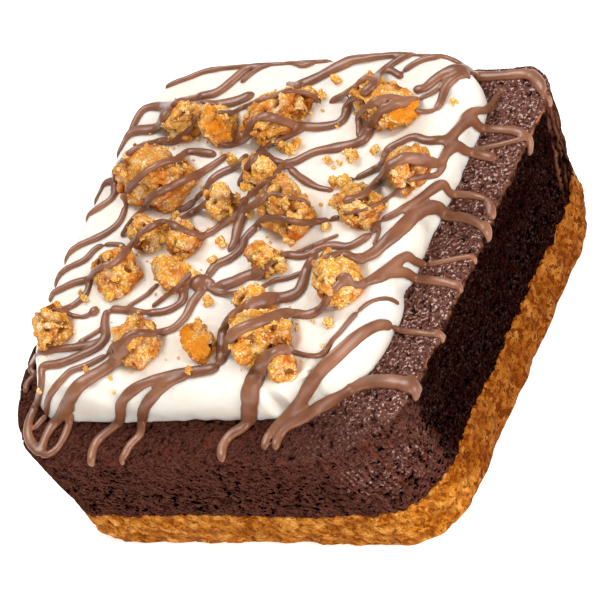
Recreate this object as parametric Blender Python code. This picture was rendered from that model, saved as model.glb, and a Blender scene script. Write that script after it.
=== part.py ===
"""A square brownie bar on a pressed crumb crust, with a slab of marshmallow, broken biscuit chunks
and chocolate drizzle on top.

Metres, +Z up. The origin is at the centre of the flat base. The front face looks along -Y.
"""

import math
import random

import bmesh
import bpy
from mathutils import Matrix, Vector, noise
from mathutils.bvhtree import BVHTree

MM = 0.001
GAP = 0.3 * MM

# Driving sizes
BAR_HALF = 38.0 * MM
BAR_HEIGHT = 23.3 * MM
CRUST_HEIGHT = 8.2 * MM
CRUST_WAVE = 0.7 * MM
DRAFT_FRONT = 2.7 * MM
DRAFT_SIDE = 1.9 * MM
LIP_ROUNDING = 0.5 * MM
BASE_ROUNDING = 0.9 * MM
CRUST_SPREAD = 0.7 * MM
TOPPING_THICKNESS = 7.0 * MM
TOPPING_LEFT = -34.3 * MM
TOPPING_RIGHT = 29.0 * MM
TOPPING_FRONT = -30.3 * MM
TOPPING_BACK = 36.3 * MM
TOPPING_Z = BAR_HEIGHT + TOPPING_THICKNESS

# Corner radii along X and along Y, from back right anticlockwise
BAR_CORNERS_TOP = [(6.5, 6.5), (8.0, 8.0), (16.0, 25.0), (14.0, 14.0)]
BAR_CORNERS_BASE = [(15.5, 15.5), (15.5, 15.5), (13.5, 14.5), (8.5, 8.5)]
TOPPING_CORNERS = [(11.0, 11.0), (11.5, 11.5), (10.0, 15.0), (12.5, 12.5)]

# Every outline has the same columns, counted from the middle of the right side, anticlockwise
STRAIGHT_COLUMNS = 11
CORNER_COLUMNS = 9
COLUMNS = 4 * (STRAIGHT_COLUMNS + CORNER_COLUMNS)
FRONT_LEFT_COLUMN = 50

# At the front left corner the seam dips and the marshmallow leans in: by how much, over how many columns
SEAM_DIP = 3.0 * MM
DIP_COLUMNS = 3.0
TOPPING_LEAN = 3.6 * MM
LEAN_COLUMNS = 4.5

# The seam between crust and brownie: how far in each of its rings is, and how wavy
SEAM_INSETS = [0.0, 3.5 * MM, 9.0 * MM]
SEAM_WAVINESS = [1.0, 0.4, 0.0]

# The direction from the bar to a viewer who sees the front right corner. The drizzle's routes and
# the crumbs are laid out as they look from there on the level of the marshmallow's top.
VIEW_TURN = math.radians(48.6)
VIEW_RISE = math.radians(37.5)
TO_VIEWER = Vector(
    (
        math.sin(VIEW_TURN) * math.cos(VIEW_RISE),
        -math.cos(VIEW_TURN) * math.cos(VIEW_RISE),
        math.sin(VIEW_RISE),
    )
)

# A chunk is a box rounded towards a ball, with flat breaks and bumps. Larger ones have more faces.
CHUNK_ROUNDNESS = 0.62
CHUNK_BALL = 1.12
CHUNK_BREAKS = 5
CHUNK_BUMP = 0.16
CHUNK_RISE = 0.46
LARGE_CHUNK = 60

# Biscuit chunks: centre X and Y, length, width, height (mm), turn of the length (degrees), seed
CHUNKS = [
    (-20.5, 22.6, 6.5, 6.0, 5.2, 10, 11),
    (-13.4, 21.0, 7.0, 5.0, 4.8, -45, 12),
    (-2.8, 22.6, 10.5, 7.6, 5.2, 48, 13),
    (-19.5, 9.6, 13.2, 8.8, 6.2, -12, 14),
    (17.2, 22.8, 11.5, 7.0, 5.6, -24, 15),
    (26.4, 9.6, 5.8, 7.4, 5.4, 0, 17),
    (20.4, 3.6, 8.4, 5.8, 4.6, -40, 18),
    (-0.6, 10.6, 5.2, 5.0, 4.6, 20, 19),
    (-4.8, 4.4, 5.0, 4.4, 4.8, -40, 20),
    (8.2, 2.6, 9.8, 7.4, 6.4, -35, 21),
    (-17.2, -0.4, 7.0, 5.0, 4.2, -15, 22),
    (-10.0, -1.8, 6.0, 4.4, 3.8, -10, 23),
    (-19.6, -8.4, 7.8, 6.4, 5.0, -40, 24),
    (-8.6, -8.6, 5.6, 4.6, 4.4, -45, 25),
    (7.0, -6.2, 7.4, 3.8, 3.0, -30, 26),
    (23.2, -11.0, 9.2, 6.6, 4.8, -38, 27),
    (9.8, -14.8, 6.4, 4.4, 3.6, -10, 28),
    (14.9, -21.9, 10.0, 8.4, 6.6, -58, 29),
    (20.3, -27.2, 3.8, 4.0, 4.2, 10, 33),
    (2.1, -21.6, 8.0, 4.6, 3.4, -38, 30),
    (-26.9, -18.9, 7.0, 5.6, 4.8, -45, 31),
    (-8.8, -22.0, 8.6, 6.0, 4.8, -52, 32),
]

# Drizzle strands: widths at the start, middle and end, then the route's points, all in millimetres,
# as they look on the level of the marshmallow's top. Strands thinner than this stay out.
THINNEST = 1.15
STRANDS = [
    # Back and back left
    (1.0, 1.3, 1.2, [(-31, 32), (-27, 33), (-22, 35), (-17, 35), (-11, 36), (-6, 36), (-1, 35.5)]),
    (1.3, 1.8, 1.8, [(-33.5, 23), (-33, 26.5), (-30.5, 27.5), (-26, 27), (-22, 29), (-19, 29.5)]),
    (1.8, 1.8, 1.4, [(-19, 29.5), (-17, 32), (-15, 35), (-12, 36)]),
    (1.5, 2.2, 2.2, [(-34, 18.5), (-34, 21), (-32, 22.5), (-28, 22.5), (-27, 24), (-26.5, 26.5)]),
    (1.6, 1.9, 2.0, [(-21, 27.5), (-17.5, 27), (-14, 27.5), (-11.5, 29)]),
    (2.0, 2.6, 1.4, [(-5, 29.5), (-1, 31), (3.5, 34), (8, 35.5), (12, 35.5), (15, 35)]),
    (1.6, 1.8, 1.6, [(-13.5, 19), (-11, 18.5), (-9, 20), (-8.5, 22.5), (-6.5, 23.5), (-3, 22.5)]),
    (1.6, 1.7, 1.7, [(-3, 22.5), (0, 21.5), (4, 21), (8, 21.5), (8.5, 23.5), (8, 25.5), (11, 28)]),
    (1.6, 1.6, 1.3, [(11, 28), (11, 31), (13, 33.5), (15, 35)]),
    (1.3, 1.3, 1.0, [(4, 26), (6.5, 27.5), (8, 28.5), (8.5, 30), (10.5, 30)]),
    (1.2, 1.3, 1.2, [(15.5, 31.5), (17, 33), (19, 34), (22, 34), (24.5, 33), (27, 32), (31, 32.5)]),
    (1.6, 2.3, 1.8, [(19, 28), (21, 27.5), (22.5, 29.5), (24.5, 31), (27.5, 31), (31, 30), (36, 30)]),
    (1.8, 2.2, 1.6, [(36, 30), (39.5, 30), (42, 28.5), (44.5, 25.5)]),
    (1.3, 1.6, 1.6, [(25, 23), (25.5, 24.5), (25, 27.5), (26, 29.5), (28, 30)]),
    (1.0, 1.4, 1.0, [(13, 18.5), (12, 21), (11, 23), (12.5, 25), (15, 26), (18, 25.5), (21, 25.5)]),
    (1.4, 1.9, 1.8, [(0.5, 14), (3, 14), (6, 16), (10, 16.5), (14, 17.5), (14.5, 19)]),
    (1.8, 1.9, 1.4, [(14.5, 19), (14, 21), (14.5, 23), (16.5, 24.5), (19.5, 25)]),
    # Right
    (1.2, 1.5, 1.5, [(16, 10), (18.5, 11.5), (20, 13), (19.5, 15.5), (21.5, 17), (23.5, 18)]),
    (1.5, 1.8, 1.8, [(23.5, 18), (26, 17), (29.5, 17), (30.5, 18.5), (31.5, 20.5), (33, 21)]),
    (1.8, 1.6, 1.6, [(33, 21), (35, 19.5), (38, 19), (42, 18.5), (45, 17)]),
    (1.4, 1.5, 1.2, [(31, 20.5), (31, 22), (32.5, 23), (34.5, 23), (35.5, 24.5), (35.5, 26.5)]),
    (1.6, 2.0, 1.9, [(15.5, 5.5), (18.5, 6), (20, 8), (21, 10), (22, 12.5), (24, 13.5), (27, 13)]),
    (1.7, 1.8, 1.7, [(27, 13), (30.5, 12.5), (30.5, 14.5), (32, 16), (34, 15), (37.5, 14), (41, 13)]),
    (1.2, 1.7, 1.2, [(24.5, 1.5), (27, 3), (29.5, 5.5), (32.5, 8.5), (35, 6.5), (39, 6), (42.5, 5)]),
    (1.2, 2.2, 2.4, [(17, -5.5), (19.5, -5), (21, -5), (23, -6), (25.5, -5.5), (27, -3.5), (29, 0)]),
    (2.4, 2.2, 1.6, [(29, 0), (30.5, 3), (32.5, 4), (34.5, 3.5), (36.5, 2), (40, 1.5), (43.5, 0)]),
    (1.6, 1.4, 1.1, [(43.5, 0), (45, -1.5), (46, -3)]),
    (1.3, 1.9, 1.3, [(24.5, -10.5), (27.5, -10.5), (29.5, -8), (32, -5.5), (34, -6.5), (37, -7.5)]),
    (1.3, 1.8, 1.6, [(23, -10), (25.5, -11), (28.5, -10), (30, -9), (33, -8.5), (36, -10)]),
    (1.6, 1.6, 1.5, [(36, -10), (39, -10.5), (42, -11), (45, -12)]),
    (1.8, 2.2, 2.2, [(35.5, -19), (33, -18.5), (30.5, -20), (28.5, -23), (26.5, -26.5), (25.5, -30)]),
    (2.2, 1.9, 1.5, [(25.5, -30), (25, -34), (23.5, -37), (22.5, -39.5), (23, -42)]),
    (2.4, 2.7, 2.2, [(46, -31.5), (42.5, -30), (38, -29.5), (34, -30.5), (30.5, -33), (27.5, -36)]),
    (2.2, 1.9, 1.5, [(27.5, -36), (25, -38), (24.5, -40), (25, -42)]),
    # Left
    (1.1, 1.5, 1.3, [(-34, 9), (-34, 11), (-33, 12), (-31, 12), (-30, 10.5), (-29.5, 8), (-33.5, 5.5)]),
    (1.2, 1.5, 1.2, [(-33.5, -3), (-33, -2), (-30.5, -0.5), (-27.5, 1), (-25.5, 3.5), (-26, 7)]),
    (1.2, 1.5, 1.2, [(-32, 15), (-30.5, 17), (-28, 19), (-25.5, 20), (-22.5, 20), (-20.5, 23)]),
    (1.4, 1.6, 1.4, [(-27, 9.5), (-26, 12), (-22.5, 15), (-20, 15.5), (-19, 17.5), (-13, 16.5)]),
    (1.3, 1.6, 1.4, [(-22, 6), (-21.5, 8.5), (-19, 10), (-17, 11.5), (-14, 13), (-10.5, 16.5)]),
    (1.2, 1.4, 1.2, [(-33, -7.5), (-33, -6.5), (-30.5, -5), (-28.5, -4), (-28, -2), (-26.5, -1)]),
    (1.2, 1.4, 1.4, [(-32, -12), (-32.5, -10.5), (-31, -10), (-28.5, -8.5), (-26, -8), (-25, -6)]),
    (1.4, 1.4, 1.4, [(-25, -6), (-22.5, -5), (-21.5, -3), (-20.5, -0.5), (-19.5, 1.5), (-17.5, 3)]),
    (1.4, 1.4, 1.4, [(-17.5, 3), (-15, 2.5), (-12, 1), (-9, 0), (-6.5, 0.5), (-4, 4), (-3, 7.5)]),
    (1.2, 1.4, 1.3, [(-29.5, -14), (-27, -13.5), (-25.5, -12), (-25, -10), (-26, -8)]),
    # Middle
    (1.2, 1.7, 1.3, [(-13, 7.5), (-11.5, 9), (-11.5, 11.5), (-9.5, 13), (-7.5, 14), (-7, 16)]),
    (1.3, 1.3, 1.2, [(-5.5, 17), (-3.5, 16), (-1, 14.5), (1, 14)]),
    (1.3, 1.4, 1.0, [(2.5, 13), (4.5, 11.5), (7, 10), (10, 8.5), (13, 8)]),
    (1.3, 2.0, 1.6, [(-1.5, -3.5), (-1, -2), (-1.5, 0), (-2, 3), (-1.5, 5), (0.5, 6.5), (0.5, 8)]),
    (1.2, 1.4, 1.6, [(15, 2), (9.5, 2), (5.5, 3), (2.5, 3), (1.5, 1), (0.5, -1), (1, -3)]),
    (1.6, 1.8, 1.8, [(1, -3), (-0.5, -5), (-2.5, -6), (-3, -8.5)]),
    (1.6, 2.4, 2.3, [(-1, -10), (1.5, -10), (4.5, -8.5), (7.5, -7.5)]),
    (1.6, 1.5, 1.6, [(7.5, -6), (9.5, -4.5), (13.5, -5), (15.5, -3.5), (18, -3), (21, -3.5), (24, -1)]),
    (1.5, 2.2, 2.3, [(15.5, -4.5), (15, -7), (15.5, -10), (15.5, -12), (13.5, -13), (10, -13)]),
    (2.3, 2.2, 2.0, [(10, -13), (7, -15), (5, -17), (5.5, -20.5), (6.5, -22.5), (7.5, -25.5)]),
    (1.4, 1.7, 1.8, [(23, -10), (22, -11), (21.5, -13.5), (21, -15.5), (19, -16.5), (16.5, -16)]),
    (1.8, 2.0, 1.8, [(16.5, -16), (14, -16), (11, -17.5), (7.5, -19), (7, -21), (7.5, -24)]),
    # Front
    (2.0, 2.0, 1.8, [(7.5, -26), (5, -26.5), (1, -27), (-3.5, -28), (-7, -30), (-8, -32.5), (-7, -35)]),
    (1.8, 1.8, 1.5, [(-7, -35), (-7, -37), (-9, -39.5), (-9, -42), (-8, -44.5)]),
    (1.9, 1.9, 1.8, [(2.5, -27), (-1, -29), (-3, -32), (-3, -34.5), (-2, -37)]),
    (1.8, 1.6, 1.4, [(-2, -37), (-1.5, -39), (-2.5, -41), (-2.5, -44.5)]),
    (1.6, 3.0, 3.0, [(19, -23), (17, -23), (15.5, -25), (15, -28), (15.5, -31)]),
    (3.0, 2.2, 1.7, [(15.5, -31), (17, -35), (17.5, -37.5), (15.5, -39), (15, -41.5), (16.5, -44)]),
    (1.6, 1.4, 1.6, [(-19, -14), (-14.5, -14.5), (-12, -15), (-9, -15), (-7, -14.5), (-5.5, -13)]),
    (1.6, 1.7, 1.5, [(-5.5, -13), (-6, -11.5), (-6.5, -9.5), (-4.5, -9), (-2.5, -10)]),
    (1.8, 1.6, 1.4, [(-2.5, -10.5), (-3.5, -13), (-3.5, -16), (-5, -18.5), (-8, -19), (-12, -19)]),
    (2.6, 2.8, 2.4, [(-12, -19), (-12.5, -22), (-13, -25), (-16, -27.5), (-18, -30)]),
    (2.4, 1.8, 1.4, [(-18, -30), (-18.5, -34), (-19.5, -38), (-19, -41.5), (-17.5, -42.5)]),
    (1.4, 1.5, 1.4, [(-17.5, -42.5), (-16, -41), (-16, -37.5), (-17, -34)]),
    (1.4, 1.9, 1.8, [(-19.5, -14), (-18.5, -17), (-17, -19.5), (-17.5, -21.5), (-20, -23), (-23, -24.5)]),
    (1.6, 1.6, 1.6, [(-23, -24.5), (-26.5, -25), (-25.5, -27), (-24.5, -30), (-24.5, -33.5)]),
    (1.6, 1.8, 1.6, [(-24.5, -33.5), (-24, -37), (-22, -40), (-18.5, -42.5)]),
    (1.5, 1.4, 1.4, [(-17, -20), (-19.5, -21), (-23, -21.5), (-29, -22)]),
    (1.2, 1.4, 1.2, [(-15, -23), (-18, -25), (-20.5, -26), (-21.5, -28), (-22.5, -31), (-21.5, -34.5)]),
]

# A strand is followed in short steps, and its tube has rings further apart
LAYING_STEP = 0.5
RING_SPACING = 3.3
END_TAPER = 0.75

# No strand is laid deeper than this inside a solid
DEEPEST = 3.0 * MM

# Crumbs on the marshmallow: X and Y as above, size
CRUMBS = [
    (3.7, 30.3, 2.2),
    (2.3, 27.3, 2.2),
    (13.8, 14.2, 3.0),
    (17.6, 15.4, 2.2),
    (9.4, 13.9, 1.8),
    (11.8, 13.3, 1.4),
    (28.0, 24.6, 1.6),
    (24.0, -18.3, 2.2),
    (2.8, -27.0, 2.2),
    (-17.6, -25.9, 1.6),
    (-24.3, -30.0, 1.8),
    (-24.6, -12.0, 1.6),
    (-0.4, -13.4, 2.4),
    (10.4, -7.2, 2.8),
    (2.0, 17.5, 2.4),
    (-0.5, 17.0, 2.4),
    (15.0, 9.0, 3.0),
    (-3.2, -2.0, 2.2),
    (-5.4, -8.2, 2.6),
    (-9.2, 15.0, 2.4),
]


def mix(a, b, t):
    """The number at a share t of the way from a to b."""
    return a + (b - a) * t


def hump(value, middle, width):
    """A bell curve of height 1."""
    return math.exp(-(((value - middle) / width) ** 2))


def smooth_noise(point, size, seed):
    """Smooth noise from about -1 to 1, with features of one size."""
    return noise.noise(point / size + Vector((seed * 3.7, seed * 1.9, seed * 5.3)))


def outline(column, left, right, front, back, corners):
    """A point of a rounded rectangle. Each side and each corner has its own share of the columns."""
    per_quarter = STRAIGHT_COLUMNS + CORNER_COLUMNS
    # Column 0 is in the middle of the right side
    quarter, step = divmod((column + STRAIGHT_COLUMNS // 2) % COLUMNS, per_quarter)
    (rx0, ry0), (rx1, ry1) = corners[(quarter - 1) % 4], corners[quarter]
    centres = [
        (right, back, -1, -1),
        (left, back, 1, -1),
        (left, front, 1, 1),
        (right, front, -1, 1),
    ]
    edge_x, edge_y, in_x, in_y = centres[quarter]
    past_x, past_y, past_in_x, past_in_y = centres[(quarter - 1) % 4]
    if step < STRAIGHT_COLUMNS:
        t = step / STRAIGHT_COLUMNS
        if quarter % 2 == 0:
            start = Vector((past_x, past_y + past_in_y * ry0, 0))
            end = Vector((edge_x, edge_y + in_y * ry1, 0))
        else:
            start = Vector((past_x + past_in_x * rx0, past_y, 0))
            end = Vector((edge_x + in_x * rx1, edge_y, 0))
        return start.lerp(end, t)
    turn = (quarter + (step - STRAIGHT_COLUMNS) / CORNER_COLUMNS) * math.pi / 2
    centre = Vector((edge_x + in_x * rx1, edge_y + in_y * ry1, 0))
    return centre + Vector((rx1 * math.cos(turn), ry1 * math.sin(turn), 0))


def in_metres(corners):
    """Corner radii given in millimetres."""
    return [(rx * MM, ry * MM) for rx, ry in corners]


def bar_outline(column, z):
    """The outline of crust and brownie at a height, drawn in towards the base."""
    t = z / BAR_HEIGHT
    side = BAR_HALF - DRAFT_SIDE * (1 - t)
    front = BAR_HALF - DRAFT_FRONT * (1 - t)
    pairs = zip(BAR_CORNERS_BASE, BAR_CORNERS_TOP)
    corners = [(mix(a[0], b[0], t), mix(a[1], b[1], t)) for a, b in pairs]
    return outline(column, -side, side, -front, front, in_metres(corners))


def topping_outline(column):
    """The outline of the marshmallow, which bulges at the right, near the front."""
    corners = in_metres(TOPPING_CORNERS)
    point = outline(column, TOPPING_LEFT, TOPPING_RIGHT, TOPPING_FRONT, TOPPING_BACK, corners)
    bulge = hump(point.y, -15 * MM, 7 * MM) * max(0.0, point.x / TOPPING_RIGHT)
    wobble = 0.35 * smooth_noise(point, 9 * MM, 1)
    return point * (1 + (1.1 * bulge + wobble) * MM / point.length)


def inset(point, distance):
    """A point moved towards the middle."""
    return point * (1 - distance / point.length)


def drum(levels, insets):
    """A closed drum: levels round its side, and rings that step in on both ends."""
    bm = bmesh.new()
    bmesh.ops.create_cone(
        bm, cap_ends=True, segments=COLUMNS, radius1=1, radius2=1, depth=1
    )
    upright = [e for e in bm.edges if abs(e.verts[0].co.z - e.verts[1].co.z) > 0.5]
    bmesh.ops.subdivide_edges(bm, edges=upright, cuts=levels - 1, use_grid_fill=True)
    for _ in range(insets):
        ends = [f for f in bm.faces if len(f.verts) == COLUMNS]
        bmesh.ops.inset_individual(bm, faces=ends, thickness=0.1)
    return bm


def shape_drum(bm, levels, place):
    """Moves each vertex to place(column, level, ring)."""
    moves = []
    for vertex in bm.verts:
        turn = math.atan2(vertex.co.y, vertex.co.x) / (2 * math.pi)
        column = round(turn * COLUMNS) % COLUMNS
        level = round((vertex.co.z + 0.5) * levels)
        ring = round((1 - vertex.co.xy.length) / 0.1)
        moves.append((vertex, place(column, level, ring)))
    for vertex, point in moves:
        vertex.co = point


def material(name, colour, roughness):
    """A plain finish."""
    made = bpy.data.materials.new(name)
    made.use_nodes = True
    surface = made.node_tree.nodes["Principled BSDF"]
    surface.inputs["Base Color"].default_value = (*colour, 1)
    surface.inputs["Roughness"].default_value = roughness
    surface.inputs["Metallic"].default_value = 0
    made.diffuse_color = (*colour, 1)
    return made


def face_outwards(bm):
    """Turns all the faces of a closed mesh outwards."""
    bmesh.ops.recalc_face_normals(bm, faces=bm.faces)
    if bm.calc_volume(signed=True) < 0:
        bmesh.ops.reverse_faces(bm, faces=bm.faces)


def add_object(name, bm, collection, made_of):
    """A named piece of the bar."""
    mesh = bpy.data.meshes.new(name)
    face_outwards(bm)
    bm.to_mesh(mesh)
    bm.free()
    mesh.materials.append(made_of)
    thing = bpy.data.objects.new(name, mesh)
    collection.objects.link(thing)
    return thing


def seam_height(point):
    """The wavy line where the brownie meets the crust."""
    slow = smooth_noise(point, 17 * MM, 2)
    quick = smooth_noise(point, 6 * MM, 3)
    return CRUST_HEIGHT + CRUST_WAVE * (slow + 0.6 * quick)


def seam_point(column, ring):
    """A point of the seam, level in the middle of the bar."""
    edge = bar_outline(column, CRUST_HEIGHT)
    edge.z = 0
    dip = SEAM_DIP * hump(column, FRONT_LEFT_COLUMN, DIP_COLUMNS)
    height = mix(CRUST_HEIGHT, seam_height(edge) - dip, SEAM_WAVINESS[ring])
    point = inset(edge, SEAM_INSETS[ring])
    point.z = height
    return point


def build_crust(collection):
    """The pressed crumb crust, lumpy at its sides and flat below."""
    rise = [0.0, 0.12, 0.36, 0.66, 1.0]
    base_inset = [BASE_ROUNDING, 0.1 * BASE_ROUNDING, 0, 0, 0]
    levels = len(rise) - 1

    def place(column, level, ring):
        seam = seam_point(column, ring if level == levels else 0)
        if level == levels:
            return seam
        z = rise[level] * seam.z
        point = bar_outline(column, z)
        crumb = smooth_noise(point + Vector((0, 0, z)), 3.2 * MM, 4)
        crumb += 0.6 * smooth_noise(point + Vector((0, 0, z)), 7 * MM, 5)
        swell = 0.25 * math.sin(math.pi * rise[level])
        out = 0.0 if level == 0 else 0.5 * crumb + swell
        spread = CRUST_SPREAD * (1 - rise[level]) * max(0.0, point.x / BAR_HALF)
        point = inset(point, base_inset[level] + 3 * MM * ring - out * MM - spread)
        point.z = z
        return point

    bm = drum(levels, 2)
    shape_drum(bm, levels, place)
    return add_object("biscuit_crust", bm, collection, material("crust", (0.46, 0.2, 0.045), 0.75))


def build_brownie(collection):
    """The brownie, craggy at its sides, with a sharp lip and a grainy rim."""
    rise = [0.0, 0.25, 0.5, 0.75, 0.96, 1.0]
    levels = len(rise) - 1
    rim_insets = [LIP_ROUNDING, 1.4 * MM, 3.4 * MM]

    def place(column, level, ring):
        if level == 0:
            point = seam_point(column, ring)
            point.z += GAP
            return point
        low = seam_point(column, 0).z + GAP
        z = mix(low, BAR_HEIGHT, rise[level])
        point = bar_outline(column, z)
        spot = point + Vector((0, 0, z))
        crag = 0.35 * smooth_noise(spot, 4 * MM, 6) + 0.25 * smooth_noise(spot, 9 * MM, 7)
        if level < levels:
            point = inset(point, -crag * MM)
            point.z = z
            return point
        point = inset(point, rim_insets[ring] - crag * MM * (1 if ring == 0 else 0))
        grain = 0.25 * smooth_noise(spot, 4 * MM, 8) if ring < 2 else 0
        point.z = BAR_HEIGHT + grain * MM - (0.1 * MM if ring == 0 else 0)
        return point

    bm = drum(levels, 2)
    shape_drum(bm, levels, place)
    return add_object("brownie", bm, collection, material("brownie", (0.05, 0.014, 0.008), 0.6))


def lean_in(column, height):
    """How far in the marshmallow's wall leans at a height over the brownie."""
    return TOPPING_LEAN * hump(column, FRONT_LEFT_COLUMN, LEAN_COLUMNS) * height / TOPPING_THICKNESS


def build_topping(collection):
    """The marshmallow slab, with soft upright walls."""
    heights = [0.3, 1.2, 3.0, 4.8, 6.0, 6.8]
    steps_in = [0.1, 0.0, 0.0, 0.25, 0.7, 1.5]
    levels = len(heights) - 1

    def place(column, level, ring):
        point = topping_outline(column)
        if level < levels or ring == 0:
            sag = 0.3 * smooth_noise(point + Vector((0, 0, heights[level] * 2 * MM)), 8 * MM, 9)
            lean = lean_in(column, heights[level] * MM)
            point = inset(point, (steps_in[level] - (sag if level else 0)) * MM + 2 * MM * ring + lean)
            point.z = BAR_HEIGHT + heights[level] * MM
            return point
        point = inset(point, (1.5 + 1.7 * ring) * MM + lean_in(column, TOPPING_THICKNESS))
        point.z = TOPPING_Z
        return point

    bm = drum(levels, 1)
    shape_drum(bm, levels, place)
    return add_object("marshmallow", bm, collection, material("marshmallow", (0.86, 0.8, 0.7), 0.4))


def chunk_mesh(length, width, height, turn, seed, cuts):
    """A broken lump: a rounded box with flat breaks and bumps, its middle at the origin."""
    draw = random.Random(seed)
    bm = bmesh.new()
    bmesh.ops.create_cube(bm, size=2)
    bmesh.ops.subdivide_edges(bm, edges=bm.edges[:], cuts=cuts, use_grid_fill=True)
    half = Vector((length / 2, width / 2, height / 2))
    breaks = []
    for _ in range(CHUNK_BREAKS):
        around = draw.uniform(0, 2 * math.pi)
        up = draw.uniform(-0.1, 0.9)
        way = Vector((math.cos(around), math.sin(around), up)).normalized()
        breaks.append((way, draw.uniform(0.72, 0.95)))
    spin = Matrix.Rotation(math.radians(turn), 3, "Z")
    for vertex in bm.verts:
        ball = vertex.co.normalized() * CHUNK_BALL
        point = vertex.co.lerp(ball, CHUNK_ROUNDNESS)
        for way, reach in breaks:
            past = point.dot(way) - reach
            if past > 0:
                point -= way * past
        lump = noise.noise(point * 1.6 + Vector((seed, 0, 0)))
        lump += 0.5 * noise.noise(point * 3.4 + Vector((0, seed, 0)))
        point *= 1 + CHUNK_BUMP * lump
        vertex.co = spin @ Vector((point.x * half.x, point.y * half.y, point.z * half.z))
    return bm


def build_chunks(collection):
    """The broken biscuit, each chunk cut level just above the marshmallow."""
    made_of = material("biscuit", (0.62, 0.27, 0.05), 0.6)
    chunks = []
    floor = TOPPING_Z + GAP
    for number, (x, y, length, width, height, turn, seed) in enumerate(CHUNKS, 1):
        cuts = 3 if length * width > LARGE_CHUNK else 2
        bm = chunk_mesh(length * MM, width * MM, height * MM, turn, seed, cuts)
        place = Vector((x * MM, y * MM, TOPPING_Z + CHUNK_RISE * height * MM))
        bmesh.ops.translate(bm, verts=bm.verts, vec=place)
        everything = bm.verts[:] + bm.edges[:] + bm.faces[:]
        bmesh.ops.bisect_plane(
            bm, geom=everything, plane_co=(0, 0, floor), plane_no=(0, 0, 1), clear_inner=True
        )
        bmesh.ops.holes_fill(bm, edges=[edge for edge in bm.edges if edge.is_boundary])
        chunks.append(add_object(f"biscuit_chunk_{number:02}", bm, collection, made_of))
    return chunks


def tree_of(thing):
    """A search tree over an object's faces."""
    bm = bmesh.new()
    bm.from_mesh(thing.data)
    tree = BVHTree.FromBMesh(bm)
    bm.free()
    return tree


def nearest(point, trees):
    """(name, spot, normal, distance) of the closest surface. Inside a solid the distance is negative."""
    best = None
    for name, tree in trees.items():
        spot, normal, _, distance = tree.find_nearest(point)
        if best is None or distance < abs(best[3]):
            inside = distance < DEEPEST and (point - spot).dot(normal) < 0
            best = (name, spot, normal, -distance if inside else distance)
    return best


def seen_spot(x, y, trees):
    """Where the line of sight through a point on the marshmallow's level first meets a surface."""
    level_point = Vector((x * MM, y * MM, TOPPING_Z))
    start = level_point + TO_VIEWER * 60 * MM
    hits = [tree.ray_cast(start, -TO_VIEWER) for tree in trees.values()]
    hits = [hit for hit in hits if hit[0] is not None]
    if hits:
        return min(hits, key=lambda hit: hit[3])[0]
    return nearest(level_point, trees)[1]


def through(points, t):
    """A Catmull-Rom curve through the points. A whole t is one of the points."""
    step = min(int(t), len(points) - 2)
    t -= step
    a, b, c, d = (points[min(max(step + k, 0), len(points) - 1)] for k in (-1, 0, 1, 2))
    return (
        b * 2 + (c - a) * t + (a * 2 - b * 5 + c * 4 - d) * t**2 + (b * 3 - a - c * 3 + d) * t**3
    ) * 0.5


def lay_strand(widths, route, trees):
    """(point, radius) pairs in short steps along a strand that lies on what it meets."""
    points = [Vector((x, y)) for x, y in route]
    length = sum((b - a).length for a, b in zip(points, points[1:]))
    count = max(8, round(length / LAYING_STEP))
    laid = []
    for index in range(count + 1):
        at = through(points, index / count * (len(points) - 1))
        laid.append(seen_spot(at.x, at.y, trees))
    for _ in range(3):
        laid = [laid[0]] + [(a + b * 2 + c) / 4 for a, b, c in zip(laid, laid[1:], laid[2:])] + [laid[-1]]
    strand = []
    for index, point in enumerate(laid):
        t = index / count
        width = mix(widths[0], widths[1], 2 * t) if t < 0.5 else mix(widths[1], widths[2], 2 * t - 1)
        radius = width / 2 * MM
        _, spot, normal, distance = nearest(point, trees)
        if distance < 0.15 * radius:
            point = spot + normal * 0.15 * radius
        strand.append((point, radius))
    return strand


def runs_by_owner(strands, trees):
    """Cuts strands into runs that each lie on one solid and stay clear of the others."""
    clear = 1.5 * GAP
    kept = {name: [] for name in trees}
    runs = []
    order = sorted(trees, key=lambda name: (name == "brownie", name == "marshmallow"))
    for owner in order:
        others = {name: tree for name, tree in trees.items() if name != owner}
        for strand in strands:
            run = []
            for point, radius in strand + [(None, 0)]:
                fits = point is not None and nearest(point, {owner: trees[owner]})[3] < 0.7 * radius
                fits = fits and nearest(point, others)[3] > radius + clear
                fits = fits and all(
                    (point - taken).length > radius + wide + clear
                    for name in others
                    for taken, wide in kept[name]
                )
                if fits:
                    run.append((point, radius))
                    continue
                if len(run) > 4:
                    runs.append((owner, run))
                    kept[owner] += run
                run = []
    return runs


def strand_mesh(run):
    """A tube along a run, thinner at its ends, as a mesh."""
    steps = max(2, round(len(run) * LAYING_STEP / RING_SPACING))
    picks = [run[round(k * (len(run) - 1) / steps)] for k in range(steps + 1)]
    curve = bpy.data.curves.new("strand", "CURVE")
    curve.dimensions = "3D"
    curve.bevel_depth = 1.0
    curve.bevel_resolution = 0
    curve.use_fill_caps = True
    line = curve.splines.new("POLY")
    line.points.add(len(picks) - 1)
    for index, (point, radius) in enumerate(picks):
        line.points[index].co = (*point, 1)
        at_end = index in (0, len(picks) - 1)
        line.points[index].radius = radius * (END_TAPER if at_end else 1)
    thing = bpy.data.objects.new("strand", curve)
    bpy.context.scene.collection.objects.link(thing)
    graph = bpy.context.evaluated_depsgraph_get()
    mesh = bpy.data.meshes.new_from_object(thing.evaluated_get(graph))
    bpy.data.objects.remove(thing, do_unlink=True)
    bm = bmesh.new()
    bm.from_mesh(mesh)
    bmesh.ops.remove_doubles(bm, verts=bm.verts, dist=0.01 * MM)
    face_outwards(bm)
    bm.to_mesh(mesh)
    bm.free()
    return mesh


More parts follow.
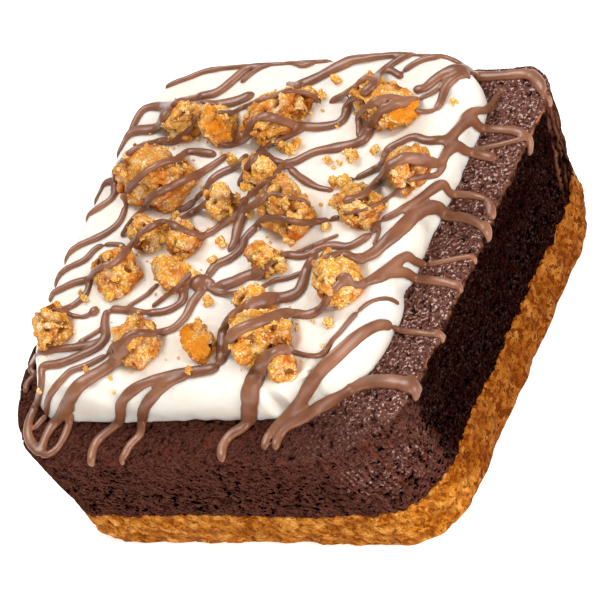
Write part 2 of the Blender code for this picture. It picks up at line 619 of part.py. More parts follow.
def keep_outer_shell(mesh):
    """Fills sealed hollows and drops loose scraps: only the widest closed shell stays."""
    bm = bmesh.new()
    bm.from_mesh(mesh)
    left = set(bm.faces)
    shells = []
    while left:
        shell = set()
        edge_of = [left.pop()]
        while edge_of:
            face = edge_of.pop()
            shell.add(face)
            beside = {other for edge in face.edges for other in edge.link_faces} & left
            left -= beside
            edge_of += beside
        shells.append(shell)
    widest = max(shells, key=lambda shell: sum(face.calc_area() for face in shell))
    drop = [face for shell in shells if shell is not widest for face in shell]
    bmesh.ops.delete(bm, geom=drop, context="FACES")
    bm.to_mesh(mesh)
    bm.free()


def fuse(thing, meshes):
    """Joins closed meshes to an object with one Boolean union on a collection."""
    pieces = bpy.data.collections.new("fused_pieces")
    bpy.context.scene.collection.children.link(pieces)
    for mesh in meshes:
        piece = bpy.data.objects.new("piece", mesh)
        piece.hide_render = True
        pieces.objects.link(piece)
    union = thing.modifiers.new("fuse", "BOOLEAN")
    union.operation = "UNION"
    union.solver = "MANIFOLD"
    union.operand_type = "COLLECTION"
    union.collection = pieces
    graph = bpy.context.evaluated_depsgraph_get()
    joined = bpy.data.meshes.new_from_object(thing.evaluated_get(graph))
    thing.modifiers.remove(union)
    keep_outer_shell(joined)
    thing.data = joined
    for piece in list(pieces.objects):
        bpy.data.objects.remove(piece, do_unlink=True)
    bpy.data.collections.remove(pieces)


def crumb_mesh(spot, size, seed):
    """A rough crumb, as a mesh."""
    draw = random.Random(seed)
    bm = bmesh.new()
    bmesh.ops.create_icosphere(bm, subdivisions=1, radius=size / 2 * MM)
    for vertex in bm.verts:
        vertex.co *= draw.uniform(0.8, 1.15)
        vertex.co += spot
    mesh = bpy.data.meshes.new("crumb")
    bm.to_mesh(mesh)
    bm.free()
    return mesh


def add_drizzle_and_crumbs(brownie, topping, chunks):
    """Fuses the strands to whatever they lie on, and the crumbs to the marshmallow."""
    things = {thing.name: thing for thing in (brownie, topping, *chunks)}
    trees = {name: tree_of(thing) for name, thing in things.items()}
    strands = []
    for *widths, route in STRANDS:
        if max(widths) >= THINNEST:
            strands.append(lay_strand(widths, route, trees))
    added = {name: [] for name in things}
    for owner, run in runs_by_owner(strands, trees):
        added[owner].append(strand_mesh(run))
    others = {name: tree for name, tree in trees.items() if name != "marshmallow"}
    for number, (x, y, size) in enumerate(CRUMBS):
        spot = seen_spot(x, y, {"marshmallow": trees["marshmallow"]})
        if nearest(spot, others)[3] > size / 2 * MM * 1.15 + GAP:
            added["marshmallow"].append(crumb_mesh(spot, size, number))
    for name, meshes in added.items():
        if meshes:
            fuse(things[name], meshes)


def main():
    """Builds the bar from the base up."""
    for old in list(bpy.data.objects):
        bpy.data.objects.remove(old, do_unlink=True)
    bar = bpy.data.collections.new("smores_brownie")
    bpy.context.scene.collection.children.link(bar)
    build_crust(bar)
    brownie = build_brownie(bar)
    topping = build_topping(bar)
    chunks = build_chunks(bar)
    add_drizzle_and_crumbs(brownie, topping, chunks)


main()
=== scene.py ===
"""The looks of a smores brownie bar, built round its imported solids.

A crumb crust, a brownie layer, a slab of whipped marshmallow, broken biscuit and milk chocolate
drizzle. Shapes are worked out in millimetres and handed over in metres, +Z up, in the frame of the
solids: the origin is at the middle of the base, and the front face looks along -Y.
"""

from __future__ import annotations

import logging
import math
import random
from dataclasses import dataclass, field
from enum import Enum
from typing import Callable, Iterable, Protocol, Sequence, Union

import bmesh
import bpy
from mathutils import Matrix, Vector, noise
from mathutils.bvhtree import BVHTree

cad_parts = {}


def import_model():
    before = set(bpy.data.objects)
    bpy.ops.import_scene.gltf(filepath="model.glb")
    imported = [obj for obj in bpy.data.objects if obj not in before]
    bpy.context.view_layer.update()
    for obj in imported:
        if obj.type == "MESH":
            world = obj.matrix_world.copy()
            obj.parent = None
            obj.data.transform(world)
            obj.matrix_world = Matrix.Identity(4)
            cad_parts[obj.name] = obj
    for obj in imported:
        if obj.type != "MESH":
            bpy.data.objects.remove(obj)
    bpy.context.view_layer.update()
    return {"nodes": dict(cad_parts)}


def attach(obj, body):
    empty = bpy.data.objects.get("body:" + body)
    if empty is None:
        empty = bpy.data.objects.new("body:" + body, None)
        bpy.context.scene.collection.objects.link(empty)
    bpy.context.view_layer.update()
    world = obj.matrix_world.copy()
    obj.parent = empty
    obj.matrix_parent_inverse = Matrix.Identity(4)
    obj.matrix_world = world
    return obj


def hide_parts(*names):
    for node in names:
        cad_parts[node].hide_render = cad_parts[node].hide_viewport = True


Triple = tuple[float, float, float]
Colour = Triple
Value = Union[float, Colour, "Signal"]
Route = Sequence[tuple[float, float]]

MM = 0.001
BODY = "root"
LOG = logging.getLogger("smores_brownie")

# Sizes of the bar
BAR_HALF = 38.0
BAR_HEIGHT = 23.3
CRUST_HEIGHT = 8.2
CRUST_WAVE = 0.7
DRAFT_FRONT = 2.7
DRAFT_SIDE = 1.9
BASE_ROUNDING = 0.9
CRUST_SPREAD = 0.7
TOPPING_THICKNESS = 7.0
TOPPING_LEFT = -34.3
TOPPING_RIGHT = 29.0
TOPPING_FRONT = -30.3
TOPPING_BACK = 36.3
TOPPING_BULGE = 1.1
TOPPING_Z = BAR_HEIGHT + TOPPING_THICKNESS

# A height over everything, from which fine crumbs drop
ABOVE_ALL = 45.0

# Corner radii along X and along Y, from back right anticlockwise
BAR_CORNERS_TOP = ((6.5, 6.5), (8.0, 8.0), (16.0, 25.0), (14.0, 14.0))
BAR_CORNERS_BASE = ((15.5, 15.5), (15.5, 15.5), (13.5, 14.5), (8.5, 8.5))
TOPPING_CORNERS = ((11.0, 11.0), (11.5, 11.5), (10.0, 15.0), (12.5, 12.5))

# A way round an outline is counted in these shares of a side and of a corner
SIDE_SHARE = 11
CORNER_SHARE = 9
QUARTER = SIDE_SHARE + CORNER_SHARE
ROUND = 4 * QUARTER
FRONT_LEFT_WAY = 50.0

# At the front left corner the seam dips and the marshmallow leans in: by how much, over what way
SEAM_DIP = 3.0
DIP_WAY = 3.0
TOPPING_LEAN = 3.6
LEAN_WAY = 4.5

# Noise fields: the height, size and seed of each
SEAM_WAVES = ((1.0, 17, 2), (0.6, 6, 3))
SEAM_TATTERS = ((0.35, 1.6, 31), (0.2, 0.8, 32))
TOPPING_WOBBLE = (0.35, 9, 1)

# The direction from the bar to a viewer who sees the front right corner. The drizzle's routes and the
# crumbs are laid out as they look from there on the level of the marshmallow's top.
VIEW_TURN = math.radians(48.6)
VIEW_RISE = math.radians(37.5)
TO_VIEWER = Vector(
    (
        math.sin(VIEW_TURN) * math.cos(VIEW_RISE),
        -math.cos(VIEW_TURN) * math.cos(VIEW_RISE),
        math.sin(VIEW_RISE),
    )
)

# Biscuit chunks: centre X and Y, length, width, height, turn of the length (degrees), seed
CHUNKS = (
    (-20.5, 22.6, 6.5, 6.0, 5.2, 10, 11),
    (-13.4, 21.0, 7.0, 5.0, 4.8, -45, 12),
    (-2.8, 22.6, 10.5, 7.6, 5.2, 48, 13),
    (-19.5, 9.6, 13.2, 8.8, 6.2, -12, 14),
    (17.2, 22.8, 11.5, 7.0, 5.6, -24, 15),
    (26.4, 9.6, 5.8, 7.4, 5.4, 0, 17),
    (20.4, 3.6, 8.4, 5.8, 4.6, -40, 18),
    (-0.6, 10.6, 5.2, 5.0, 4.6, 20, 19),
    (-4.8, 4.4, 5.0, 4.4, 4.8, -40, 20),
    (8.2, 2.6, 9.8, 7.4, 6.4, -35, 21),
    (-17.2, -0.4, 7.0, 5.0, 4.2, -15, 22),
    (-10.0, -1.8, 6.0, 4.4, 3.8, -10, 23),
    (-19.6, -8.4, 7.8, 6.4, 5.0, -40, 24),
    (-8.6, -8.6, 5.6, 4.6, 4.4, -45, 25),
    (7.0, -6.2, 7.4, 3.8, 3.0, -30, 26),
    (23.2, -11.0, 9.2, 6.6, 4.8, -38, 27),
    (9.8, -14.8, 6.4, 4.4, 3.6, -10, 28),
    (14.9, -21.9, 10.0, 8.4, 6.6, -58, 29),
    (20.3, -27.2, 3.8, 4.0, 4.2, 10, 33),
    (2.1, -21.6, 8.0, 4.6, 3.4, -38, 30),
    (-26.9, -18.9, 7.0, 5.6, 4.8, -45, 31),
    (-8.8, -22.0, 8.6, 6.0, 4.8, -52, 32),
)

# Smooth amber breaks: number of the chunk, then the way its break faces
AMBER_BREAKS = {2: (0.6, -0.5, 0.6), 5: (0.9, -0.2, 0.4), 20: (0.3, -0.6, 0.7)}

# How toasted a chunk is all over, from 0 to 1, where it is more than a little
TOASTED = {3: 0.3, 4: 0.6, 5: 0.35, 6: 0.5, 10: 0.3, 12: 0.4, 22: 0.3}

# Drizzle strands: widths at the start, middle and end, then the route's points, in millimetres
STRANDS = (
    # Back and back left
    (1.0, 1.3, 1.2, ((-31, 32), (-27, 33), (-22, 35), (-17, 35), (-11, 36), (-6, 36), (-1, 35.5))),
    (1.3, 1.8, 1.8, ((-33.5, 23), (-33, 26.5), (-30.5, 27.5), (-26, 27), (-22, 29), (-19, 29.5))),
    (1.8, 1.8, 1.4, ((-19, 29.5), (-17, 32), (-15, 35), (-12, 36))),
    (1.5, 2.2, 2.2, ((-34, 18.5), (-34, 21), (-32, 22.5), (-28, 22.5), (-27, 24), (-26.5, 26.5))),
    (1.6, 1.9, 2.0, ((-21, 27.5), (-17.5, 27), (-14, 27.5), (-11.5, 29))),
    (2.0, 2.6, 1.4, ((-5, 29.5), (-1, 31), (3.5, 34), (8, 35.5), (12, 35.5), (15, 35))),
    (1.6, 1.8, 1.6, ((-13.5, 19), (-11, 18.5), (-9, 20), (-8.5, 22.5), (-6.5, 23.5), (-3, 22.5))),
    (1.6, 1.7, 1.7, ((-3, 22.5), (0, 21.5), (4, 21), (8, 21.5), (8.5, 23.5), (8, 25.5), (11, 28))),
    (1.6, 1.6, 1.3, ((11, 28), (11, 31), (13, 33.5), (15, 35))),
    (1.3, 1.3, 1.0, ((4, 26), (6.5, 27.5), (8, 28.5), (8.5, 30), (10.5, 30))),
    (1.2, 1.3, 1.2, ((15.5, 31.5), (17, 33), (19, 34), (22, 34), (24.5, 33), (27, 32), (31, 32.5))),
    (1.6, 2.3, 1.8, ((19, 28), (21, 27.5), (22.5, 29.5), (24.5, 31), (27.5, 31), (31, 30), (36, 30))),
    (1.8, 2.2, 1.6, ((36, 30), (39.5, 30), (42, 28.5), (44.5, 25.5))),
    (1.3, 1.6, 1.6, ((25, 23), (25.5, 24.5), (25, 27.5), (26, 29.5), (28, 30))),
    (1.0, 1.4, 1.0, ((13, 18.5), (12, 21), (11, 23), (12.5, 25), (15, 26), (18, 25.5), (21, 25.5))),
    (1.4, 1.9, 1.8, ((0.5, 14), (3, 14), (6, 16), (10, 16.5), (14, 17.5), (14.5, 19))),
    (1.8, 1.9, 1.4, ((14.5, 19), (14, 21), (14.5, 23), (16.5, 24.5), (19.5, 25))),
    # Right
    (1.2, 1.5, 1.5, ((16, 10), (18.5, 11.5), (20, 13), (19.5, 15.5), (21.5, 17), (23.5, 18))),
    (1.5, 1.8, 1.8, ((23.5, 18), (26, 17), (29.5, 17), (30.5, 18.5), (31.5, 20.5), (33, 21))),
    (1.8, 1.6, 1.6, ((33, 21), (35, 19.5), (38, 19), (42, 18.5), (45, 17))),
    (1.4, 1.5, 1.2, ((31, 20.5), (31, 22), (32.5, 23), (34.5, 23), (35.5, 24.5), (35.5, 26.5))),
    (1.6, 2.0, 1.9, ((15.5, 5.5), (18.5, 6), (20, 8), (21, 10), (22, 12.5), (24, 13.5), (27, 13))),
    (1.7, 1.8, 1.7, ((27, 13), (30.5, 12.5), (30.5, 14.5), (32, 16), (34, 15), (37.5, 14), (41, 13))),
    (1.2, 1.7, 1.2, ((24.5, 1.5), (27, 3), (29.5, 5.5), (32.5, 8.5), (35, 6.5), (39, 6), (42.5, 5))),
    (1.2, 2.2, 2.4, ((17, -5.5), (19.5, -5), (21, -5), (23, -6), (25.5, -5.5), (27, -3.5), (29, 0))),
    (2.4, 2.2, 1.6, ((29, 0), (30.5, 3), (32.5, 4), (34.5, 3.5), (36.5, 2), (40, 1.5), (43.5, 0))),
    (1.6, 1.4, 1.1, ((43.5, 0), (45, -1.5), (46, -3))),
    (1.3, 1.9, 1.3, ((24.5, -10.5), (27.5, -10.5), (29.5, -8), (32, -5.5), (34, -6.5), (37, -7.5))),
    (1.3, 1.8, 1.6, ((23, -10), (25.5, -11), (28.5, -10), (30, -9), (33, -8.5), (36, -10))),
    (1.6, 1.6, 1.5, ((36, -10), (39, -10.5), (42, -11), (45, -12))),
    (1.8, 2.2, 2.2, ((35.5, -19), (33, -18.5), (30.5, -20), (28.5, -23), (26.5, -26.5), (25.5, -30))),
    (2.2, 1.9, 1.5, ((25.5, -30), (25, -34), (23.5, -37), (22.5, -39.5), (23, -42))),
    (2.4, 2.7, 2.2, ((46, -31.5), (42.5, -30), (38, -29.5), (34, -30.5), (30.5, -33), (27.5, -36))),
    (2.2, 1.9, 1.5, ((27.5, -36), (25, -38), (24.5, -40), (25, -42))),
    # Left
    (1.1, 1.5, 1.3, ((-34, 9), (-34, 11), (-33, 12), (-31, 12), (-30, 10.5), (-29.5, 8), (-33.5, 5.5))),
    (1.2, 1.5, 1.2, ((-33.5, -3), (-33, -2), (-30.5, -0.5), (-27.5, 1), (-25.5, 3.5), (-26, 7))),
    (1.2, 1.5, 1.2, ((-32, 15), (-30.5, 17), (-28, 19), (-25.5, 20), (-22.5, 20), (-20.5, 23))),
    (1.4, 1.6, 1.4, ((-27, 9.5), (-26, 12), (-22.5, 15), (-20, 15.5), (-19, 17.5), (-13, 16.5))),
    (1.3, 1.6, 1.4, ((-22, 6), (-21.5, 8.5), (-19, 10), (-17, 11.5), (-14, 13), (-10.5, 16.5))),
    (1.2, 1.4, 1.2, ((-33, -7.5), (-33, -6.5), (-30.5, -5), (-28.5, -4), (-28, -2), (-26.5, -1))),
    (1.2, 1.4, 1.4, ((-32, -12), (-32.5, -10.5), (-31, -10), (-28.5, -8.5), (-26, -8), (-25, -6))),
    (1.4, 1.4, 1.4, ((-25, -6), (-22.5, -5), (-21.5, -3), (-20.5, -0.5), (-19.5, 1.5), (-17.5, 3))),
    (1.4, 1.4, 1.4, ((-17.5, 3), (-15, 2.5), (-12, 1), (-9, 0), (-6.5, 0.5), (-4, 4), (-3, 7.5))),
    (1.2, 1.4, 1.3, ((-29.5, -14), (-27, -13.5), (-25.5, -12), (-25, -10), (-26, -8))),
    # Middle
    (1.2, 1.7, 1.3, ((-13, 7.5), (-11.5, 9), (-11.5, 11.5), (-9.5, 13), (-7.5, 14), (-7, 16))),
    (1.3, 1.3, 1.2, ((-5.5, 17), (-3.5, 16), (-1, 14.5), (1, 14))),
    (1.3, 1.4, 1.0, ((2.5, 13), (4.5, 11.5), (7, 10), (10, 8.5), (13, 8))),
    (1.3, 2.0, 1.6, ((-1.5, -3.5), (-1, -2), (-1.5, 0), (-2, 3), (-1.5, 5), (0.5, 6.5), (0.5, 8))),
    (1.2, 1.4, 1.6, ((15, 2), (9.5, 2), (5.5, 3), (2.5, 3), (1.5, 1), (0.5, -1), (1, -3))),
    (1.6, 1.8, 1.8, ((1, -3), (-0.5, -5), (-2.5, -6), (-3, -8.5))),
    (1.6, 2.4, 2.3, ((-1, -10), (1.5, -10), (4.5, -8.5), (7.5, -7.5))),
    (1.6, 1.5, 1.6, ((7.5, -6), (9.5, -4.5), (13.5, -5), (15.5, -3.5), (18, -3), (21, -3.5), (24, -1))),
    (1.5, 2.2, 2.3, ((15.5, -4.5), (15, -7), (15.5, -10), (15.5, -12), (13.5, -13), (10, -13))),
    (2.3, 2.2, 2.0, ((10, -13), (7, -15), (5, -17), (5.5, -20.5), (6.5, -22.5), (7.5, -25.5))),
    (1.4, 1.7, 1.8, ((23, -10), (22, -11), (21.5, -13.5), (21, -15.5), (19, -16.5), (16.5, -16))),
    (1.8, 2.0, 1.8, ((16.5, -16), (14, -16), (11, -17.5), (7.5, -19), (7, -21), (7.5, -24))),
    # Front
    (2.0, 2.0, 1.8, ((7.5, -26), (5, -26.5), (1, -27), (-3.5, -28), (-7, -30), (-8, -32.5), (-7, -35))),
    (1.8, 1.8, 1.5, ((-7, -35), (-7, -37), (-9, -39.5), (-9, -42), (-8, -44.5))),
    (1.9, 1.9, 1.8, ((2.5, -27), (-1, -29), (-3, -32), (-3, -34.5), (-2, -37))),
    (1.8, 1.6, 1.4, ((-2, -37), (-1.5, -39), (-2.5, -41), (-2.5, -44.5))),
    (1.6, 3.0, 3.0, ((19, -23), (17, -23), (15.5, -25), (15, -28), (15.5, -31))),
    (3.0, 2.2, 1.7, ((15.5, -31), (17, -35), (17.5, -37.5), (15.5, -39), (15, -41.5), (16.5, -44))),
    (1.6, 1.4, 1.6, ((-19, -14), (-14.5, -14.5), (-12, -15), (-9, -15), (-7, -14.5), (-5.5, -13))),
    (1.6, 1.7, 1.5, ((-5.5, -13), (-6, -11.5), (-6.5, -9.5), (-4.5, -9), (-2.5, -10))),
    (1.8, 1.6, 1.4, ((-2.5, -10.5), (-3.5, -13), (-3.5, -16), (-5, -18.5), (-8, -19), (-12, -19))),
    (2.6, 2.8, 2.4, ((-12, -19), (-12.5, -22), (-13, -25), (-16, -27.5), (-18, -30))),
    (2.4, 1.8, 1.4, ((-18, -30), (-18.5, -34), (-19.5, -38), (-19, -41.5), (-17.5, -42.5))),
    (1.4, 1.5, 1.4, ((-17.5, -42.5), (-16, -41), (-16, -37.5), (-17, -34))),
    (
        1.4, 1.9, 1.8,
        ((-19.5, -14), (-18.5, -17), (-17, -19.5), (-17.5, -21.5), (-20, -23), (-23, -24.5)),
    ),
    (1.6, 1.6, 1.6, ((-23, -24.5), (-26.5, -25), (-25.5, -27), (-24.5, -30), (-24.5, -33.5))),
    (1.6, 1.8, 1.6, ((-24.5, -33.5), (-24, -37), (-22, -40), (-18.5, -42.5))),
    (1.5, 1.4, 1.4, ((-17, -20), (-19.5, -21), (-23, -21.5), (-29, -22))),
    (1.2, 1.4, 1.2, ((-15, -23), (-18, -25), (-20.5, -26), (-21.5, -28), (-22.5, -31), (-21.5, -34.5))),
)

# Threads thinner than the strands: width, then the route's points
THREADS = (
    # Back and left
    (1.1, ((-8.5, 36), (-6.3, 35), (-4.3, 34), (-3, 35))),
    (0.9, ((-33.7, 22.8), (-33.3, 25.2))),
    (1.0, ((-15.3, 31.3), (-13.6, 33.8), (-11.2, 35.8))),
    (0.9, ((-16.8, 25), (-14, 25), (-12, 26.3), (-8.5, 27), (-4, 28.6), (-0.5, 28), (2.5, 26))),
    (1.2, ((11.2, 32.3), (13.3, 31.9), (16, 30.2))),
    (0.6, ((15, 35.3), (17, 35.2), (18.5, 34.5))),
    (0.8, ((-28.8, 9.3), (-30.8, 12.3), (-31.7, 15))),
    (0.9, ((-20.5, 23), (-21.2, 25.2))),
    (1.0, ((-23.8, 0.3), (-23.3, 3.5), (-22, 6))),
    (1.0, ((-26, 7), (-27.3, 9.5))),
    (1.0, ((-26.5, -1), (-24, -1), (-22, -1.6))),
    (0.9, ((-30.3, -13.6), (-28, -14.3), (-25, -15.3), (-23, -15.4), (-21.7, -14.4))),
    # Right
    (0.9, ((21, 25.5), (23.5, 27), (24.6, 29.3), (27, 30.6))),
    (0.9, ((20.8, 23.4), (23, 22.8), (25.1, 23.2))),
    (1.0, ((34.5, 15), (37.5, 15.3), (41, 16), (44.8, 17))),
    (1.2, ((35.5, 26.5), (37, 27.2))),
    (1.0, ((25.5, 9.2), (28, 9.8), (31, 10.3), (31.4, 12.6))),
    (1.0, ((42.5, 5), (44.5, 1.5))),
    (1.3, ((24, -1), (24.3, 1.6))),
    (1.0, ((37, -7.5), (41, -6.6), (45, -6))),
    (0.7, ((25.2, -3.5), (25.3, -1), (24.7, 0.5))),
    (0.7, ((34.9, -14.8), (32.5, -13.6), (29.8, -13.9), (28, -16))),
    (1.0, ((28, -16), (27, -18.5), (26, -21.5), (24.8, -24.2), (21.5, -23.9), (19, -22.9))),
    (1.1, ((46, -21.3), (42, -20.6), (38, -20), (35.5, -19))),
    # Drips over the right lip
    (1.3, ((43.7, 25.6), (45.4, 24.7), (46.2, 23.1))),
    (1.3, ((43.8, 18), (45.1, 16.9), (45.9, 15.2), (46.5, 13.5))),
    (1.1, ((42.1, 5.3), (43.9, 3.7), (45.1, 1))),
    (1.3, ((43.5, 0.7), (45, -0.7), (46.1, -3.4))),
    (1.0, ((44.1, -6.2), (44.9, -6.4), (45.6, -7.7))),
    (1.1, ((43.4, -10.7), (44.4, -11.4), (45.3, -13.2))),
    (1.0, ((43.6, -20.3), (44.9, -20.5), (46.1, -22.6))),
    (1.6, ((42.6, -28.6), (44.3, -30), (46, -33.3))),
    # Middle
    (1.2, ((-5, 17.5), (-3.2, 18.6), (-1, 19.5), (2, 20.8))),
    (1.0, ((12.5, 9.6), (16, 10))),
    (0.7, ((11.5, -4.2), (18, -0.9))),
    (1.0, ((8.2, -11), (10, -9.4), (12.3, -9.2), (14.5, -8))),
    (1.2, ((-3, 7.5), (-1.2, 9.8), (0.1, 11.6), (0.4, 13.2), (2.6, 13.2))),
    (0.9, ((-15.8, -13.8), (-13.6, -12), (-12.7, -10.9), (-11.8, -9.2))),
    (0.9, ((-11, -14), (-9.4, -12), (-8.2, -10), (-7.5, -8.4), (-6.2, -7.1))),
    (1.2, ((-16, 5.6), (-13.8, 5.6), (-13, 7.5))),
    (1.2, ((-5.6, 9.6), (-5.7, 12.8), (-4.8, 15.3), (-3.6, 16.5))),
    (1.3, ((-13.6, 3.3), (-12.2, 4.6), (-9.9, 6.6))),
    (1.0, ((0.5, 8), (-0.1, 9.9))),
    (0.9, ((1, 7.2), (3, 7.3), (5.5, 6.4), (8, 6.1), (9.9, 4.8))),
    (1.0, ((16.5, 2.7), (15, 2))),
    (1.3, ((-3.3, -8.6), (-1, -10))),
    (1.6, ((7.5, -7.5), (7.5, -6))),
    (1.1, ((-2.5, -10), (-0.3, -11.3), (2, -11.9), (4.4, -11.7))),
    (0.7, ((16.8, 3), (20, 3.8), (23.5, 5.5), (25.8, 8.3))),
    # Front
    (0.9, ((-22, -20.6), (-20, -19.2), (-18.4, -17.7))),
    (1.1, ((-14.2, -20.3), (-15, -23))),
    (1.2, ((-21.5, -34.5), (-22.6, -37.5))),
    (1.2, ((-28.2, -22.5), (-29.6, -24.2), (-29, -26.2), (-27.6, -26.4))),
    (1.2, ((-27.5, -26.5), (-28.6, -28.5), (-27.8, -30.3))),
    (1.2, ((-17, -34), (-17.8, -31.5))),
)

# Knots where strands meet or end: X and Y, width
KNOTS = (
    (-4, -9.5, 3.0),
    (23, -9.8, 2.6),
    (-21.7, -14.4, 1.8),
    (15.2, -28.5, 3.4),
    (-12.6, -21.5, 3.0),
)

# Creases in the marshmallow: depth, width, then the route's points
CREASES = (
    (
        1.5, 0.8,
        ((17.2, -30.6), (19.6, -30.5), (21.8, -29.2), (23.6, -27.4), (24.4, -24.8), (24.6, -21.6)),
    ),
    (0.5, 2.4, ((20.5, -14.5), (22.6, -18), (23.4, -22), (22, -26))),
    (0.6, 0.8, ((28.6, 4.5), (30.2, 7), (31.2, 10))),
    (0.35, 0.9, ((-15.8, -28.6), (-12.5, -29.5), (-9.7, -31))),
    (0.4, 1.0, ((25.8, 26.8), (27.2, 24.8), (30, 21.6))),
    (0.3, 1.1, ((-24.5, -28.5), (-20.5, -29.5), (-17.5, -31.2))),
)

# Crumbs: X and Y as above, size
CRUMBS = (
    (3.7, 30.3, 2.2), (2.3, 27.3, 2.2), (13.8, 14.2, 3.0), (17.6, 15.4, 2.2), (9.4, 13.9, 1.8),
    (11.8, 13.3, 1.4), (28.0, 24.6, 1.6), (24.0, -18.3, 2.2), (2.8, -27.0, 2.2), (-17.6, -25.9, 1.6),
    (-24.3, -30.0, 1.8), (-24.6, -12.0, 1.6), (-0.4, -13.4, 2.4), (10.4, -7.2, 2.8), (2.0, 17.5, 2.4),
    (-0.5, 17.0, 2.4), (15.0, 9.0, 3.0), (-3.2, -2.0, 2.2), (-5.4, -8.2, 2.6), (-9.2, 15.0, 2.4),
    (20.8, -17.6, 1.0), (24.6, -22.4, 0.8), (-12.0, -27.7, 1.0), (-26.3, -10.6, 1.2), (13.5, 5.2, 0.8),
    (8.0, 21.0, 1.2), (-14.8, 4.2, 2.0), (-19.9, 20.0, 2.2), (-9.3, 15.1, 2.2), (-3.1, -5.4, 2.2),
    (15.0, 0.6, 2.2), (9.8, -2.3, 2.6), (13.0, 9.1, 2.4), (14.9, 4.9, 2.2), (-2.5, 18.4, 2.4),
    (1.5, 16.1, 2.2), (5.8, -5.6, 2.4), (-0.8, 3.9, 2.2), (-12.9, 24.1, 1.6),
)


class Slot(Enum):
    """Names of the material slots, one for each finish."""

    CRUST = "crust"
    BROWNIE = "brownie"
    MARSHMALLOW = "marshmallow"
    BISCUIT = "biscuit"
    CHOCOLATE = "chocolate"


class Mark(Enum):
    """What a mesh's points remember for their finish, each from 0 to 1."""

    # Painted shade in pits, crevices, pores and creases
    PIT = "pit"
    CREST = "crest"
    # The darker right side: painted shade, and on the brownie also its wet-looking cut face
    DUSK = "dusk"
    # Random tone, or the brownie's porosity; on the marshmallow, painted warm shade near the chunks
    TONE = "tone"
    AMBER = "amber"
    # Toast colour, with painted shade added on the sides and undersides
    TOAST = "toast"
    # Painted sheen and glints on the brownie's rim, scuffed corner and right face
    GLINT = "glint"


def mix(a: float, b: float, t: float) -> float:
    """Returns the number at a share t of the way from a to b."""
    return a + (b - a) * t


def clamp(value: float) -> float:
    """Returns the value, kept from 0 to 1."""
    return min(max(value, 0.0), 1.0)


def ease(low: float, high: float, value: float) -> float:
    """Returns 0 below low, 1 above high, and a smooth rise between."""
    t = clamp((value - low) / (high - low))
    return t * t * (3 - 2 * t)


def hump(value: float, middle: float, width: float) -> float:
    """Returns a bell curve of height 1."""
    return math.exp(-(((value - middle) / width) ** 2))


def smooth_noise(point: Vector, size: float, seed: float) -> float:
    """Reads smooth noise in space.

    Args:
        point: where it is read, in millimetres.
        size: the size of its features, in millimetres.
        seed: picks one of many such fields.

    Returns:
        A number from about -1 to 1.
    """
    return noise.noise(point / size + Vector((seed * 3.7, seed * 1.9, seed * 5.3)))


def rough(point: Vector, *fields: Triple) -> float:
    """Returns the sum of fields of smooth noise, each given by its height, size and seed."""
    return sum(height * smooth_noise(point, size, seed) for height, size, seed in fields)


def grains(point: Vector, size: float, seed: float) -> tuple[float, float]:
    """Reads packed grains in space.

    Args:
        point: where they are read, in millimetres.
        size: the spacing of the grains.
        seed: picks one of many such fields.

    Returns:
        How far the point is from its grain's middle, from 0 to about 1, and the grain's own random
        number from 0 to 1.
    """
    distances, middles = noise.voronoi(point / size + Vector((seed * 7.1, seed * 2.3, seed * 4.9)))
    return distances[0], noise.cell(middles[0] * 31.7) * 0.5 + 0.5


def through(points: Sequence[Vector], t: float) -> Vector:
    """Follows a Catmull-Rom curve.

    Args:
        points: what the curve runs through.
        t: where on it: a whole number is one of the points.

    Returns:
        The place.
    """
    step = min(int(t), len(points) - 2)
    t -= step
    a, b, c, d = (points[min(max(step + k, 0), len(points) - 1)] for k in (-1, 0, 1, 2))
    bend = a * 2 - b * 5 + c * 4 - d
    twist = b * 3 - a - c * 3 + d
    return (b * 2 + (c - a) * t + bend * t**2 + twist * t**3) * 0.5


def lifted(point: Vector, height: float) -> Vector:
    """Returns a point moved up."""
    return point + Vector((0, 0, height))


def heading(turn: float, rise: float = 0.0) -> Vector:
    """Returns a vector one unit long in plan, at a turn in radians, with a rise."""
    return Vector((math.cos(turn), math.sin(turn), rise))


def tinted(red: int, green: int, blue: int) -> Colour:
    """Returns the linear colour of screen values from 0 to 255."""
    shares = (level / 255 for level in (red, green, blue))
    return tuple(s / 12.92 if s <= 0.04045 else ((s + 0.055) / 1.055) ** 2.4 for s in shares)


class Signal:
    """A node's output that takes part in Python arithmetic, each step of which adds a node."""

    def __init__(self, shader: "Shader", socket: bpy.types.NodeSocket) -> None:
        """Keeps the shader that the socket is in, and the socket."""
        self.shader = shader
        self.socket = socket

    def __add__(self, other: Value) -> "Signal":
        """Returns the sum."""
        return self.shader.maths("ADD", self, other)

    def __sub__(self, other: Value) -> "Signal":
        """Returns the difference."""
        return self.shader.maths("SUBTRACT", self, other)

    def __rsub__(self, other: Value) -> "Signal":
        """Returns the difference from a number."""
        return self.shader.maths("SUBTRACT", other, self)

    def __mul__(self, other: Value) -> "Signal":
        """Returns the product."""
        return self.shader.maths("MULTIPLY", self, other)

    __radd__ = __add__
    __rmul__ = __mul__

    def ease(self, low: float, high: float) -> "Signal":
        """Returns 0 below low, 1 above high, and a smooth rise between."""
        values = {"Value": self, "From Min": low, "From Max": high}
        return self.shader.signal("ShaderNodeMapRange", {"interpolation_type": "SMOOTHSTEP"}, values)


